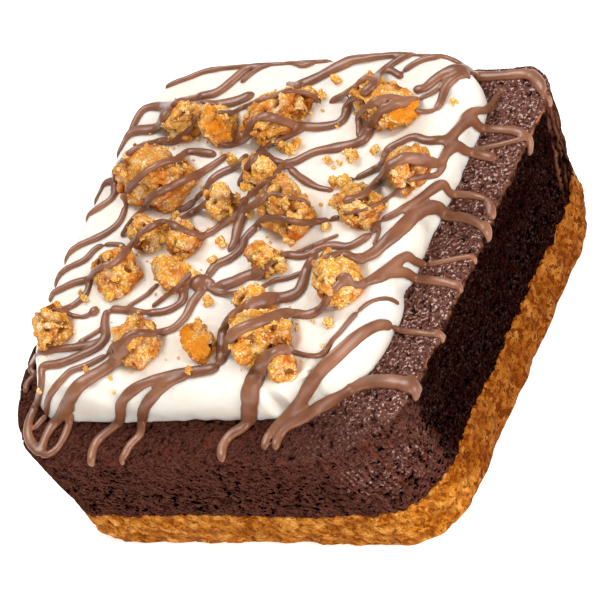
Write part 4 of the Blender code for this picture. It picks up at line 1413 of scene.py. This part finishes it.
@dataclass
class MarshmallowSlab:
    """The whipped marshmallow on the brownie: upright soft walls and a gently rippled top."""

    drum: Drum = Drum(500, 22, 70, 1)
    heights: Sequence[float] = (-0.2, 0.3, 1.2, 3.0, 4.8, 6.0, 6.8)
    steps_in: Sequence[float] = (0.35, 0.1, 0.0, 0.0, 0.25, 0.7, 1.5)
    base_step: float = 3.0
    pinch_at: float = -7.0
    pinch_depth: float = 0.7
    sag: float = 0.3
    foot: float = 0.35
    ripples: Sequence[Triple] = ((0.22, 11, 72), (0.12, 4.5, 73), (0.04, 1.8, 74))
    mound: float = 0.35

    def place(self, spot: Spot) -> Vector:
        """Finds a spot's place before the relief.

        Args:
            spot: where it is on the drum.

        Returns:
            Its place.
        """
        point = topping_outline(spot.way)
        if spot.level == self.drum.levels:
            edge = inset(point, self.steps_in[-1] + lean_in(spot.way, self.heights[-1]))
            share = spot.ring / (self.drum.top_rings + 1)
            point = edge * (1 - share)
            crown = ease(0.0, 0.1, share)
            point.z = mix(BAR_HEIGHT + self.heights[-1], TOPPING_Z, crown)
            return point
        t = spot.level / self.drum.levels * (len(self.heights) - 1)
        profile = [Vector((step, height, 0)) for step, height in zip(self.steps_in, self.heights)]
        across = through(profile, t)
        sag = self.sag * smooth_noise(lifted(point, across.y * 2), 8, 9)
        lean = ease(-0.2, 1.2, across.y)
        foot = self.foot * smooth_noise(point, 2.6, 71) * (1 - ease(0.2, 1.6, across.y))
        pinch = self.pinch_depth * hump(point.y, self.pinch_at, 2.2) if point.x > 20 else 0.0
        slump = lean_in(spot.way, max(0.0, across.y))
        step = across.x - sag * lean - foot + pinch + slump + spot.ring * self.base_step
        point = inset(point, step)
        point.z = BAR_HEIGHT + across.y
        return point

    def relief(self, point: Vector, normal: Vector) -> tuple[float, dict[Mark, float]]:
        """Ripples the slab slowly, and raises mounds where the chunks press in.

        Args:
            point: its place.
            normal: the way out there.

        Returns:
            Its rise, and its marks.
        """
        rise = rough(point, *self.ripples)
        mound = 0.0
        warm_shade = 0.0
        if normal.z > 0.5:
            for x, y, length, width, *_ in CHUNKS:
                reach = (length + width) / 4
                away = ((point.x - x) ** 2 + (point.y - y) ** 2) ** 0.5
                mound = max(mound, self.mound * hump(away, reach + 0.9, 0.9))
                # Painted warm shade round each chunk
                warm_shade = max(warm_shade, ease(reach + 2.6, reach, away))
        painted_crease_shade = 0.0
        for depth, width, route in CREASES:
            far = self.to_route(point, route)
            rise -= depth * hump(far, 0, width)
            # The creases are marked for painted shade
            painted_crease_shade = max(painted_crease_shade, 0.45 * depth * hump(far, 0, width * 0.7))
        rise = (rise + mound) * ease(BAR_HEIGHT, BAR_HEIGHT + 1.5, point.z)
        return rise, {Mark.TONE: warm_shade * (0.6 + 0.6 * smooth_noise(point, 2, 75)), Mark.PIT: painted_crease_shade}

    def to_route(self, point: Vector, route: Route) -> float:
        """Measures how far a point is from a route, seen from above.

        Args:
            point: where.
            route: the route's points.

        Returns:
            The distance.
        """
        stops = [Vector(stop) for stop in route]
        far = []
        for start, end in zip(stops, stops[1:]):
            along = end - start
            share = (point.xy - start).dot(along) / along.length_squared
            far.append((point.xy - start - along * clamp(share)).length)
        return min(far)

    def build(self, kitchen: Kitchen) -> bpy.types.Object:
        """Makes the slab.

        Args:
            kitchen: where it is finished.

        Returns:
            The piece.
        """
        bm = self.drum.layer(self.place, (Mark.TONE, Mark.PIT), self.relief)
        finish = WhippedMarshmallow()
        return kitchen.serve("marshmallow_slab", bm, finish, Slot.MARSHMALLOW, ["marshmallow"])


@dataclass
class BiscuitChunk:
    """A broken piece of crumbly biscuit."""

    number: int
    x: float
    y: float
    length: float
    width: float
    height: float
    turn: float
    seed: int
    lift: float = 0.46
    breaks: int = 5
    break_reach: tuple[float, float] = (0.66, 0.93)
    roundness: float = 0.62
    bumps: float = 0.2
    clump: float = 2.4
    clump_height: float = 0.75
    grain: float = 0.6
    grain_height: float = 0.16
    pit_depth: float = 0.75
    foot: float = TOPPING_Z - 0.45
    skin: float = 2.6
    lump_cover: float = 0.12
    lump_sizes: tuple[float, float] = (1.0, 1.6)
    grain_cover: float = 2.0
    grain_sizes: tuple[float, float] = (0.22, 0.5)

    @property
    def node(self) -> str:
        """The solid that it stands for."""
        return f"biscuit_chunk_{self.number:02}"

    @property
    def middle(self) -> Vector:
        """The chunk's middle."""
        return Vector((self.x, self.y, TOPPING_Z + self.lift * self.height))

    def lump(self) -> bmesh.types.BMesh:
        """Breaks the plain lump: a rounded box with flat breaks and bumps.

        Returns:
            The lump, its middle at the origin.
        """
        draw = random.Random(self.seed)
        bm = bmesh.new()
        bmesh.ops.create_cube(bm, size=2)
        cuts = round(min(47, 15 + 2.8 * self.length))
        bmesh.ops.subdivide_edges(bm, edges=bm.edges[:], cuts=cuts, use_grid_fill=True)
        breaks = []
        for _ in range(self.breaks):
            around = draw.uniform(0, 2 * math.pi)
            way = heading(around, draw.uniform(-0.1, 0.9)).normalized()
            breaks.append((way, draw.uniform(*self.break_reach)))
        spin = Matrix.Rotation(math.radians(self.turn), 3, "Z")
        stretch = Matrix.Diagonal(Vector((self.length, self.width, self.height)) / 2)
        for vertex in bm.verts:
            ball = vertex.co.normalized() * 1.12
            point = vertex.co.lerp(ball, self.roundness)
            for way, reach in breaks:
                past = point.dot(way) - reach
                if past > 0:
                    point -= way * past
            bump = noise.noise(point * 1.6 + Vector((self.seed, 0, 0)))
            bump += 0.5 * noise.noise(point * 3.4 + Vector((0, self.seed, 0)))
            point *= 1 + self.bumps * bump
            vertex.co = spin @ stretch @ point
        return bm

    def relief(self, point: Vector, normal: Vector) -> tuple[float, dict[Mark, float]]:
        """Raises clumps and grains and sinks pits, less so on an amber break.

        Args:
            point: its place.
            normal: the way out there.

        Returns:
            Its rise, and its marks.
        """
        amber = 0.0
        if self.number in AMBER_BREAKS:
            facing = normal.dot(Vector(AMBER_BREAKS[self.number]).normalized())
            edge = 0.12 * smooth_noise(point, 2, self.seed)
            amber = ease(0.55, 0.8, facing + edge)
        far, _ = grains(point, self.clump, self.seed)
        near, shade = grains(point, self.grain, self.seed + 1)
        pit = ease(0.3, 0.5, smooth_noise(point, 1.6, self.seed + 2))
        rise = self.clump_height * (0.45 - far**2) + self.grain_height * (0.45 - near)
        rise -= self.pit_depth * pit
        # Crevices between the clumps and pits are marked for painted shade
        crevice_shade = max(pit, ease(0.5, 0.9, far))
        toast = TOASTED.get(self.number, 0.15) + 0.5 * smooth_noise(point, 3.5, self.seed + 4)
        # Sides and undersides get more: painted shade on top of the toast
        toast = clamp(toast + 0.6 * ease(0.4, -0.4, normal.z))
        rise *= 1 - 0.85 * amber
        tone = 0.35 + 0.25 * shade + 0.5 * smooth_noise(point, 2.2, self.seed + 5)
        marks = {Mark.PIT: crevice_shade * (1 - amber), Mark.AMBER: amber, Mark.TOAST: toast, Mark.TONE: tone}
        return rise, marks

    def grow(
        self, bm: bmesh.types.BMesh, count: int, sizes: tuple[float, float], sink: float
    ) -> None:
        """Sticks lumps or grains all over the chunk, each with its own tone.

        Args:
            bm: the chunk, its middle at the origin.
            count: how many.
            sizes: the smallest and the largest.
            sink: how deep a piece sits, as a share of its size.
        """
        draw = random.Random(self.seed * 31 + count)
        layer = bm.verts.layers.float
        amber, toast, tone = (layer[mark.value] for mark in (Mark.AMBER, Mark.TOAST, Mark.TONE))
        low = self.foot - self.middle.z
        hosts = [v for v in bm.verts if v.co.z > low and v[amber] < 0.4]
        spots = [(v.co.copy(), v.normal.copy(), v[toast]) for v in draw.choices(hosts, k=count)]
        for spot, normal, toasted in spots:
            size = mix(sizes[0], sizes[1], draw.random() ** 2)
            spin = Matrix.Rotation(draw.uniform(0, 6.3), 4, Vector((draw.random(), draw.random(), 1)))
            stretch = Matrix.Diagonal((draw.uniform(0.6, 1.2), draw.uniform(0.6, 1.2), 1, 1))
            place = Matrix.Translation(spot + normal * size * (0.5 - sink)) @ spin @ stretch
            made = bmesh.ops.create_icosphere(
                bm, subdivisions=2 if size > 1 else 1, radius=size / 2, matrix=place
            )
            pale = 0.25 + 0.55 * draw.betavariate(1.5, 1.2)
            for vertex in made["verts"]:
                vertex.co += (vertex.co - place.translation) * draw.uniform(-0.3, 0.3)
                vertex[tone] = pale
                vertex[toast] = toasted * (1 - 0.6 * pale)

    def build(self, kitchen: Kitchen) -> bpy.types.Object:
        """Makes the chunk.

        Args:
            kitchen: where it is finished.

        Returns:
            The piece.
        """
        bm = self.lump()
        for face in bm.faces:
            face.smooth = True
        carve(bm, (Mark.PIT, Mark.AMBER, Mark.TOAST, Mark.TONE), self.relief)
        bm.normal_update()
        skin = self.skin * self.length * self.width
        self.grow(bm, round(skin * self.lump_cover), self.lump_sizes, 0.6)
        self.grow(bm, round(skin * self.grain_cover), self.grain_sizes, 0.5)
        bmesh.ops.translate(bm, verts=bm.verts, vec=self.middle)
        for vertex in bm.verts:
            vertex.co.z = max(vertex.co.z, self.foot)
        name = f"broken_biscuit_{self.number:02}"
        return kitchen.serve(name, bm, BrokenBiscuit(), Slot.BISCUIT, [self.node], crisp=True)


class Ground:
    """The surfaces that drizzle and crumbs lie on."""

    def __init__(self, pieces: Iterable[bpy.types.Object]) -> None:
        """Gathers the pieces' faces, in millimetres.

        Args:
            pieces: what drizzle and crumbs may lie on.
        """
        points: list[Vector] = []
        faces: list[tuple[int, ...]] = []
        for piece in pieces:
            start = len(points)
            points += [vertex.co / MM for vertex in piece.data.vertices]
            for face in piece.data.polygons:
                if len(face.vertices) <= 4:
                    faces.append(tuple(start + index for index in face.vertices))
        self.tree = BVHTree.FromPolygons(points, faces)

    def seen(self, x: float, y: float) -> Vector:
        """Follows the line of sight through a point on the marshmallow's level.

        Args:
            x: the point's X.
            y: the point's Y.

        Returns:
            Where the line meets a surface.
        """
        level_point = Vector((x, y, TOPPING_Z))
        hit = self.tree.ray_cast(level_point + TO_VIEWER * 60, -TO_VIEWER)[0]
        return hit or self.tree.find_nearest(level_point)[0]

    def nearest(self, point: Vector) -> tuple[Vector, Vector, float]:
        """Returns the closest spot of a surface, its normal, and how far above it the point is."""
        spot, normal, _, _ = self.tree.find_nearest(point)
        return spot, normal, (point - spot).dot(normal)


def smoothed(values: list[Vector], rounds: int) -> list[Vector]:
    """Smooths a run of values, but keeps its ends.

    Args:
        values: the run.
        rounds: how many times it is smoothed.

    Returns:
        The smoothed run.
    """
    for _ in range(rounds):
        inner = [(a + b * 2 + c) / 4 for a, b, c in zip(values, values[1:], values[2:])]
        values = [values[0], *inner, values[-1]]
    return values


@dataclass
class Bead:
    """One step of a strand: its middle, the way up from the ground, and its width."""

    point: Vector
    up: Vector
    width: float


@dataclass
class Drizzle:
    """Milk chocolate drizzled over everything, and melted together where strands meet."""

    step: float = 0.4
    around: int = 14
    voxel: float = 0.22
    keep_share: float = 0.52
    spread: float = 0.98
    rest_height: float = 0.3
    height_share: float = 0.26
    sink: float = 0.3
    taper: float = 1.6
    end_share: float = 0.9
    fall_reach: float = 1.9
    fall_step: float = 0.28
    fall_drops: tuple[float, float] = (2.5, 9.0)
    knot_flat: float = 0.62
    knot_lift: float = 0.25
    soften_rounds: int = 3
    meshes: list[bpy.types.Mesh] = field(default_factory=list)

    def lay(self, stops: list[Vector], ground: Ground) -> list[Bead]:
        """Lays a strand along its route on whatever the line of sight meets.

        Args:
            stops: points on the marshmallow's level, each with the strand's width there as its height.
            ground: what it lies on.

        Returns:
            Its steps.
        """
        length = sum((b.xy - a.xy).length for a, b in zip(stops, stops[1:]))
        count = max(6, round(length / self.step))
        path = []
        widths = []
        for index in range(count + 1):
            at = through(stops, index / count * (len(stops) - 1))
            path.append(ground.seen(at.x, at.y))
            widths.append(at.z)
        path = smoothed(path, 4)
        path, before = self.run_down(path[::-1], ground)
        path, after = self.run_down(path[::-1], ground)
        first, last = widths[0] * self.end_share, widths[-1] * self.end_share
        widths = [first] * before + widths + [last] * after
        nearest = [(point, *ground.nearest(point)) for point in path]
        path = [spot if lift < 0 else point for point, spot, _, lift in nearest]
        path = smoothed(path, 2)
        ups = smoothed([ground.nearest(point)[1] for point in path], 8)
        beads = []
        for point, up, width in zip(path, ups, widths):
            wobble = 1 + 0.12 * smooth_noise(point, 3.0, 81) + 0.08 * smooth_noise(point, 1.3, 82)
            beads.append(Bead(point, up.normalized(), width * wobble * self.spread))
        return beads

    def chains(self) -> list[list[Vector]]:
        """Joins the routes that continue each other.

        Returns:
            All the routes, as points with a width each.
        """
        routes = []
        for start, middle, end, route in STRANDS:
            stops = []
            for index, (x, y) in enumerate(route):
                t = 2 * index / (len(route) - 1)
                width = mix(start, middle, t) if t < 1 else mix(middle, end, t - 1)
                stops.append(Vector((x, y, width)))
            if routes and (routes[-1][-1].xy - stops[0].xy).length < 0.01:
                routes[-1] += stops[1:]
            else:
                routes.append(stops)
        return routes + [[Vector((x, y, width)) for x, y in route] for width, route in THREADS]

    def run_down(self, path: list[Vector], ground: Ground) -> tuple[list[Vector], int]:
        """Lets a strand's end that reaches the left or the back edge run on down the wall.

        Args:
            path: the strand's places, in order towards that end.
            ground: what it lies on.

        Returns:
            The longer path, and how many steps were added.
        """
        end = path[-1].copy()
        left = end.x < TOPPING_LEFT + self.fall_reach
        back = end.y > TOPPING_BACK - self.fall_reach
        if not (left or back) or end.z < TOPPING_Z - 2.5:
            return path, 0
        away = Vector((-1 if left else 0, 1 if back else 0, 0)).normalized()
        drop = mix(*self.fall_drops, 0.5 + 0.5 * smooth_noise(end, 3, 83))
        added = []
        while drop > 0:
            end = ground.nearest(lifted(end + away * 0.2, -0.2))[0]
            end += Vector((smooth_noise(end, 2, 84), smooth_noise(end, 2, 85), 0)) * 0.04
            added.append(end.copy())
            drop -= self.fall_step
        return path + added, len(added)

    def sweep(self, beads: list[Bead]) -> None:
        """Sweeps a rounded, slightly flattened section along a strand, with round ends.

        Args:
            beads: the strand's steps.
        """
        bm = bmesh.new()
        made = bmesh.ops.create_circle(bm, cap_ends=True, segments=self.around, radius=1)
        ring = made["verts"]
        edges = bm.edges[:]
        old = Matrix.Identity(4)
        last = len(beads) - 1
        way = 0.0
        ways = []
        for index, bead in enumerate(beads):
            way += (bead.point - beads[index - 1].point).length if index else 0.0
            ways.append(way)
        for index, bead in enumerate(beads):
            ahead = beads[min(index + 1, last)].point - beads[max(index - 1, 0)].point
            side = ahead.cross(bead.up).normalized()
            up = side.cross(ahead).normalized()
            radius = bead.width / 2
            to_end = min(ways[index], ways[-1] - ways[index])
            closing = math.sqrt(max(0.06, 1 - max(0.0, 1 - to_end / radius / self.taper) ** 2))
            height = self.rest_height + self.height_share * bead.width
            middle = bead.point + up * height * self.sink * closing
            tall = height * (1 - self.sink) * closing
            axes = (side * radius * closing, up * tall, ahead.normalized())
            new = Matrix(axes).transposed().to_4x4()
            new.translation = middle
            if index:
                grown = bmesh.ops.extrude_edge_only(bm, edges=edges)["geom"]
                ring = [part for part in grown if isinstance(part, bmesh.types.BMVert)]
                edges = [part for part in grown if isinstance(part, bmesh.types.BMEdge)]
                edges = [edge for edge in edges if edge.is_boundary]
            bmesh.ops.transform(bm, matrix=new @ old.inverted(), verts=ring)
            old = new
        bmesh.ops.edgeloop_fill(bm, edges=edges)
        self.keep(bm)

    def knot(self, x: float, y: float, width: float, ground: Ground) -> None:
        """Adds a flattened blob.

        Args:
            x: its X on the marshmallow's level.
            y: its Y there.
            width: its width.
            ground: what it lies on.
        """
        bm = bmesh.new()
        bmesh.ops.create_icosphere(bm, subdivisions=3, radius=width / 2)
        spot = ground.seen(x, y)
        up = ground.nearest(spot)[1]
        flatten = Matrix.Scale(self.knot_flat, 4, up)
        place = Matrix.Translation(spot + up * self.knot_lift)
        bmesh.ops.transform(bm, matrix=place @ flatten, verts=bm.verts)
        self.keep(bm)

    def keep(self, bm: bmesh.types.BMesh) -> None:
        """Puts a closed mesh by, facing outwards, for the melt.

        Args:
            bm: the mesh, which is used up.
        """
        bmesh.ops.recalc_face_normals(bm, faces=bm.faces)
        self.meshes.append(meshed(bm, "drizzle_part"))

    def melt(self) -> bmesh.types.BMesh:
        """Melts all the parts into one skin.

        Returns:
            The skin.
        """
        bm = bmesh.new()
        for mesh in self.meshes:
            bm.from_mesh(mesh)
        melt = set_down("drizzle_melt", meshed(bm, "drizzle_melt"))
        remesh = melt.modifiers.new("melt", "REMESH")
        remesh.mode = "VOXEL"
        remesh.voxel_size = self.voxel
        soften = melt.modifiers.new("soften", "SMOOTH")
        soften.factor = 0.5
        soften.iterations = self.soften_rounds
        thin = melt.modifiers.new("thin", "DECIMATE")
        thin.ratio = self.keep_share
        graph = bpy.context.evaluated_depsgraph_get()
        joined = bpy.data.meshes.new_from_object(melt.evaluated_get(graph))
        bpy.data.objects.remove(melt, do_unlink=True)
        bm = bmesh.new()
        bm.from_mesh(joined)
        return bm

    def build(self, kitchen: Kitchen, ground: Ground, nodes: Iterable[str]) -> bpy.types.Object:
        """Makes the drizzle.

        Args:
            kitchen: where it is finished.
            ground: what it lies on.
            nodes: the solids whose strands it stands for.

        Returns:
            The piece.
        """
        for stops in self.chains():
            self.sweep(self.lay(stops, ground))
        for x, y, width in KNOTS:
            self.knot(x, y, width, ground)
        return kitchen.serve("chocolate_drizzle", self.melt(), MilkChocolate(), Slot.CHOCOLATE, nodes)


@dataclass
class Crumbs:
    """Crumbs of biscuit: the larger ones where they lie, and fine ones shed round each chunk."""

    shed: int = 7
    seed: int = 7
    shrink: float = 0.85
    lift: float = 0.15
    cluster_from: float = 0.8
    grain_share: tuple[float, float] = (0.3, 0.62)
    fine: tuple[float, float] = (0.3, 0.8)

    def crumb(self, bm: bmesh.types.BMesh, spot: Vector, size: float, draw: random.Random) -> None:
        """Adds a crumb to the mesh: a cluster of rough grains.

        Args:
            bm: the crumbs' mesh.
            spot: its middle.
            size: its width.
            draw: gives the grains' places and sizes.
        """
        tone_layer = bm.verts.layers.float[Mark.TONE.value]
        many = size > self.cluster_from
        for _ in range(round(6 + 6 * size) if many else 1):
            grain = size * draw.uniform(*self.grain_share) if many else size
            reach = (size - grain) / 2 * draw.random() ** 0.5
            around = draw.uniform(0, 2 * math.pi)
            up = draw.uniform(-0.2, 0.5) * size if many else 0.1 * size
            offset = Vector((reach * math.cos(around), reach * math.sin(around), up))
            tone = 0.25 + 0.5 * draw.betavariate(2.0, 1.6)
            made = bmesh.ops.create_icosphere(bm, subdivisions=1, radius=grain / 2)["verts"]
            for vertex in made:
                vertex.co *= draw.uniform(0.7, 1.2)
                vertex[tone_layer] = tone
            bmesh.ops.translate(bm, verts=made, vec=spot + offset)

    def build(self, kitchen: Kitchen, ground: Ground) -> bpy.types.Object:
        """Makes all the crumbs as one piece.

        Args:
            kitchen: where it is finished.
            ground: what they lie on.

        Returns:
            The piece.
        """
        bm = bmesh.new()
        bm.verts.layers.float.new(Mark.TONE.value)
        draw = random.Random(self.seed)
        for x, y, size in CRUMBS:
            size *= self.shrink
            self.crumb(bm, lifted(ground.seen(x, y), self.lift * size), size, draw)
        for x, y, length, width, *_ in CHUNKS:
            for _ in range(self.shed):
                around = draw.uniform(0, 2 * math.pi)
                reach = (length + width) / 4 + draw.expovariate(0.8)
                size = draw.uniform(*self.fine)
                over = Vector((x + reach * math.cos(around), y + reach * math.sin(around), ABOVE_ALL))
                spot = ground.tree.ray_cast(over, Vector((0, 0, -1)))[0]
                if spot and spot.z > TOPPING_Z - 1:
                    self.crumb(bm, lifted(spot, self.lift * size), size, draw)
        finish = BrokenBiscuit()
        return kitchen.serve("biscuit_crumbs", bm, finish, Slot.BISCUIT, ["marshmallow"], crisp=True)


@dataclass
class Studio:
    """A pale floor, soft light and the camera.

    Each lamp is given by its name, the way from the bar to it, how far off and how wide it is in
    metres, and its watts.
    """

    roll: float = math.radians(-36.469)
    distance: float = 759.604
    aim_across: float = -0.595
    aim_down: float = 0.58
    aim_height: float = 14.0
    lens: float = 300.0
    sensor: float = 36.0
    floor_half: float = 1.5
    floor_grey: float = 0.9
    floor_glow: float = 0.6
    sky: Colour = (1, 0.95, 0.88)
    sky_strength: float = 0.33
    lamps: Sequence[tuple[str, Triple, float, float, float]] = (
        ("key_lamp", (-0.45, 0.35, 0.9), 0.65, 0.3, 2.6),
        ("right_lamp", (1, -0.15, 0.55), 0.8, 0.5, 5.4),
        ("front_lamp", (0.2, -1, 0.45), 0.8, 0.5, 2.4),
    )

    def floor(self) -> bpy.types.Object:
        """Makes the floor.

        Returns:
            The floor.
        """
        bm = bmesh.new()
        bmesh.ops.create_grid(bm, x_segments=1, y_segments=1, size=self.floor_half)
        floor = set_down("floor", meshed(bm, "floor"))
        grey = (self.floor_grey,) * 3
        glow = {"Emission Color": (1, 1, 1), "Emission Strength": self.floor_glow}
        values = {"Base Color": grey, "Roughness": 0.9, **glow}
        floor.data.materials.append(Shader("pale_floor").finish(values))
        return floor

    def lamp(self, name: str, way: Triple, reach: float, size: float, watts: float) -> bpy.types.Object:
        """Makes a square soft lamp that faces the bar.

        Args:
            name: its name.
            way: the direction from the bar to it.
            reach: how far off it is, in metres.
            size: its width, in metres.
            watts: its power.

        Returns:
            The lamp.
        """
        light = bpy.data.lights.new(name, "AREA")
        light.energy = watts
        light.size = size
        lamp = set_down(name, light)
        lamp.location = Vector(way).normalized() * reach
        lamp.rotation_euler = Vector(way).to_track_quat("Z", "Y").to_euler()
        return lamp

    def camera(self) -> bpy.types.Object:
        """Makes the camera at the photograph's angle.

        Returns:
            The camera.
        """
        right = Vector((math.cos(VIEW_TURN), math.sin(VIEW_TURN), 0))
        down = (-TO_VIEWER).cross(right)
        c, s = math.cos(self.roll), math.sin(self.roll)
        image_right = right * c - down * s
        image_down = right * s + down * c
        data = bpy.data.cameras.new("camera")
        data.lens = self.lens
        data.sensor_width = self.sensor
        camera = set_down("camera", data)
        turned = Matrix((image_right, -image_down, TO_VIEWER)).transposed().to_4x4()
        turned.translation = (
            Vector((0, 0, self.aim_height))
            - image_right * self.aim_across
            - image_down * self.aim_down
            + TO_VIEWER * self.distance
        ) * MM
        camera.matrix_world = turned
        bpy.context.scene.camera = camera
        return camera

    def build(self) -> None:
        """Sets up the floor, the lamps, the sky and the camera."""
        self.floor()
        for lamp in self.lamps:
            self.lamp(*lamp)
        world = bpy.data.worlds.new("studio")
        world.use_nodes = True
        background = world.node_tree.nodes["Background"].inputs
        background["Color"].default_value = (*self.sky, 1)
        background["Strength"].default_value = self.sky_strength
        bpy.context.scene.world = world
        bpy.context.scene.view_settings.view_transform = "Standard"
        self.camera()


def main() -> None:
    """Builds the bar, its toppings and the studio."""
    logging.basicConfig(level=logging.INFO, format="%(name)s: %(message)s")
    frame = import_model()
    kitchen = Kitchen()
    CrumbCrust().build(kitchen)
    brownie = BrownieLayer().build(kitchen)
    slab = MarshmallowSlab().build(kitchen)
    chunks = [BiscuitChunk(number, *sizes).build(kitchen) for number, sizes in enumerate(CHUNKS, 1)]
    ground = Ground([brownie, slab, *chunks])
    nodes = [node for node in frame["nodes"] if node != "biscuit_crust"]
    Drizzle().build(kitchen, ground, nodes)
    Crumbs().build(kitchen, ground)
    Studio().build()


if __name__ == "__main__":
    main()
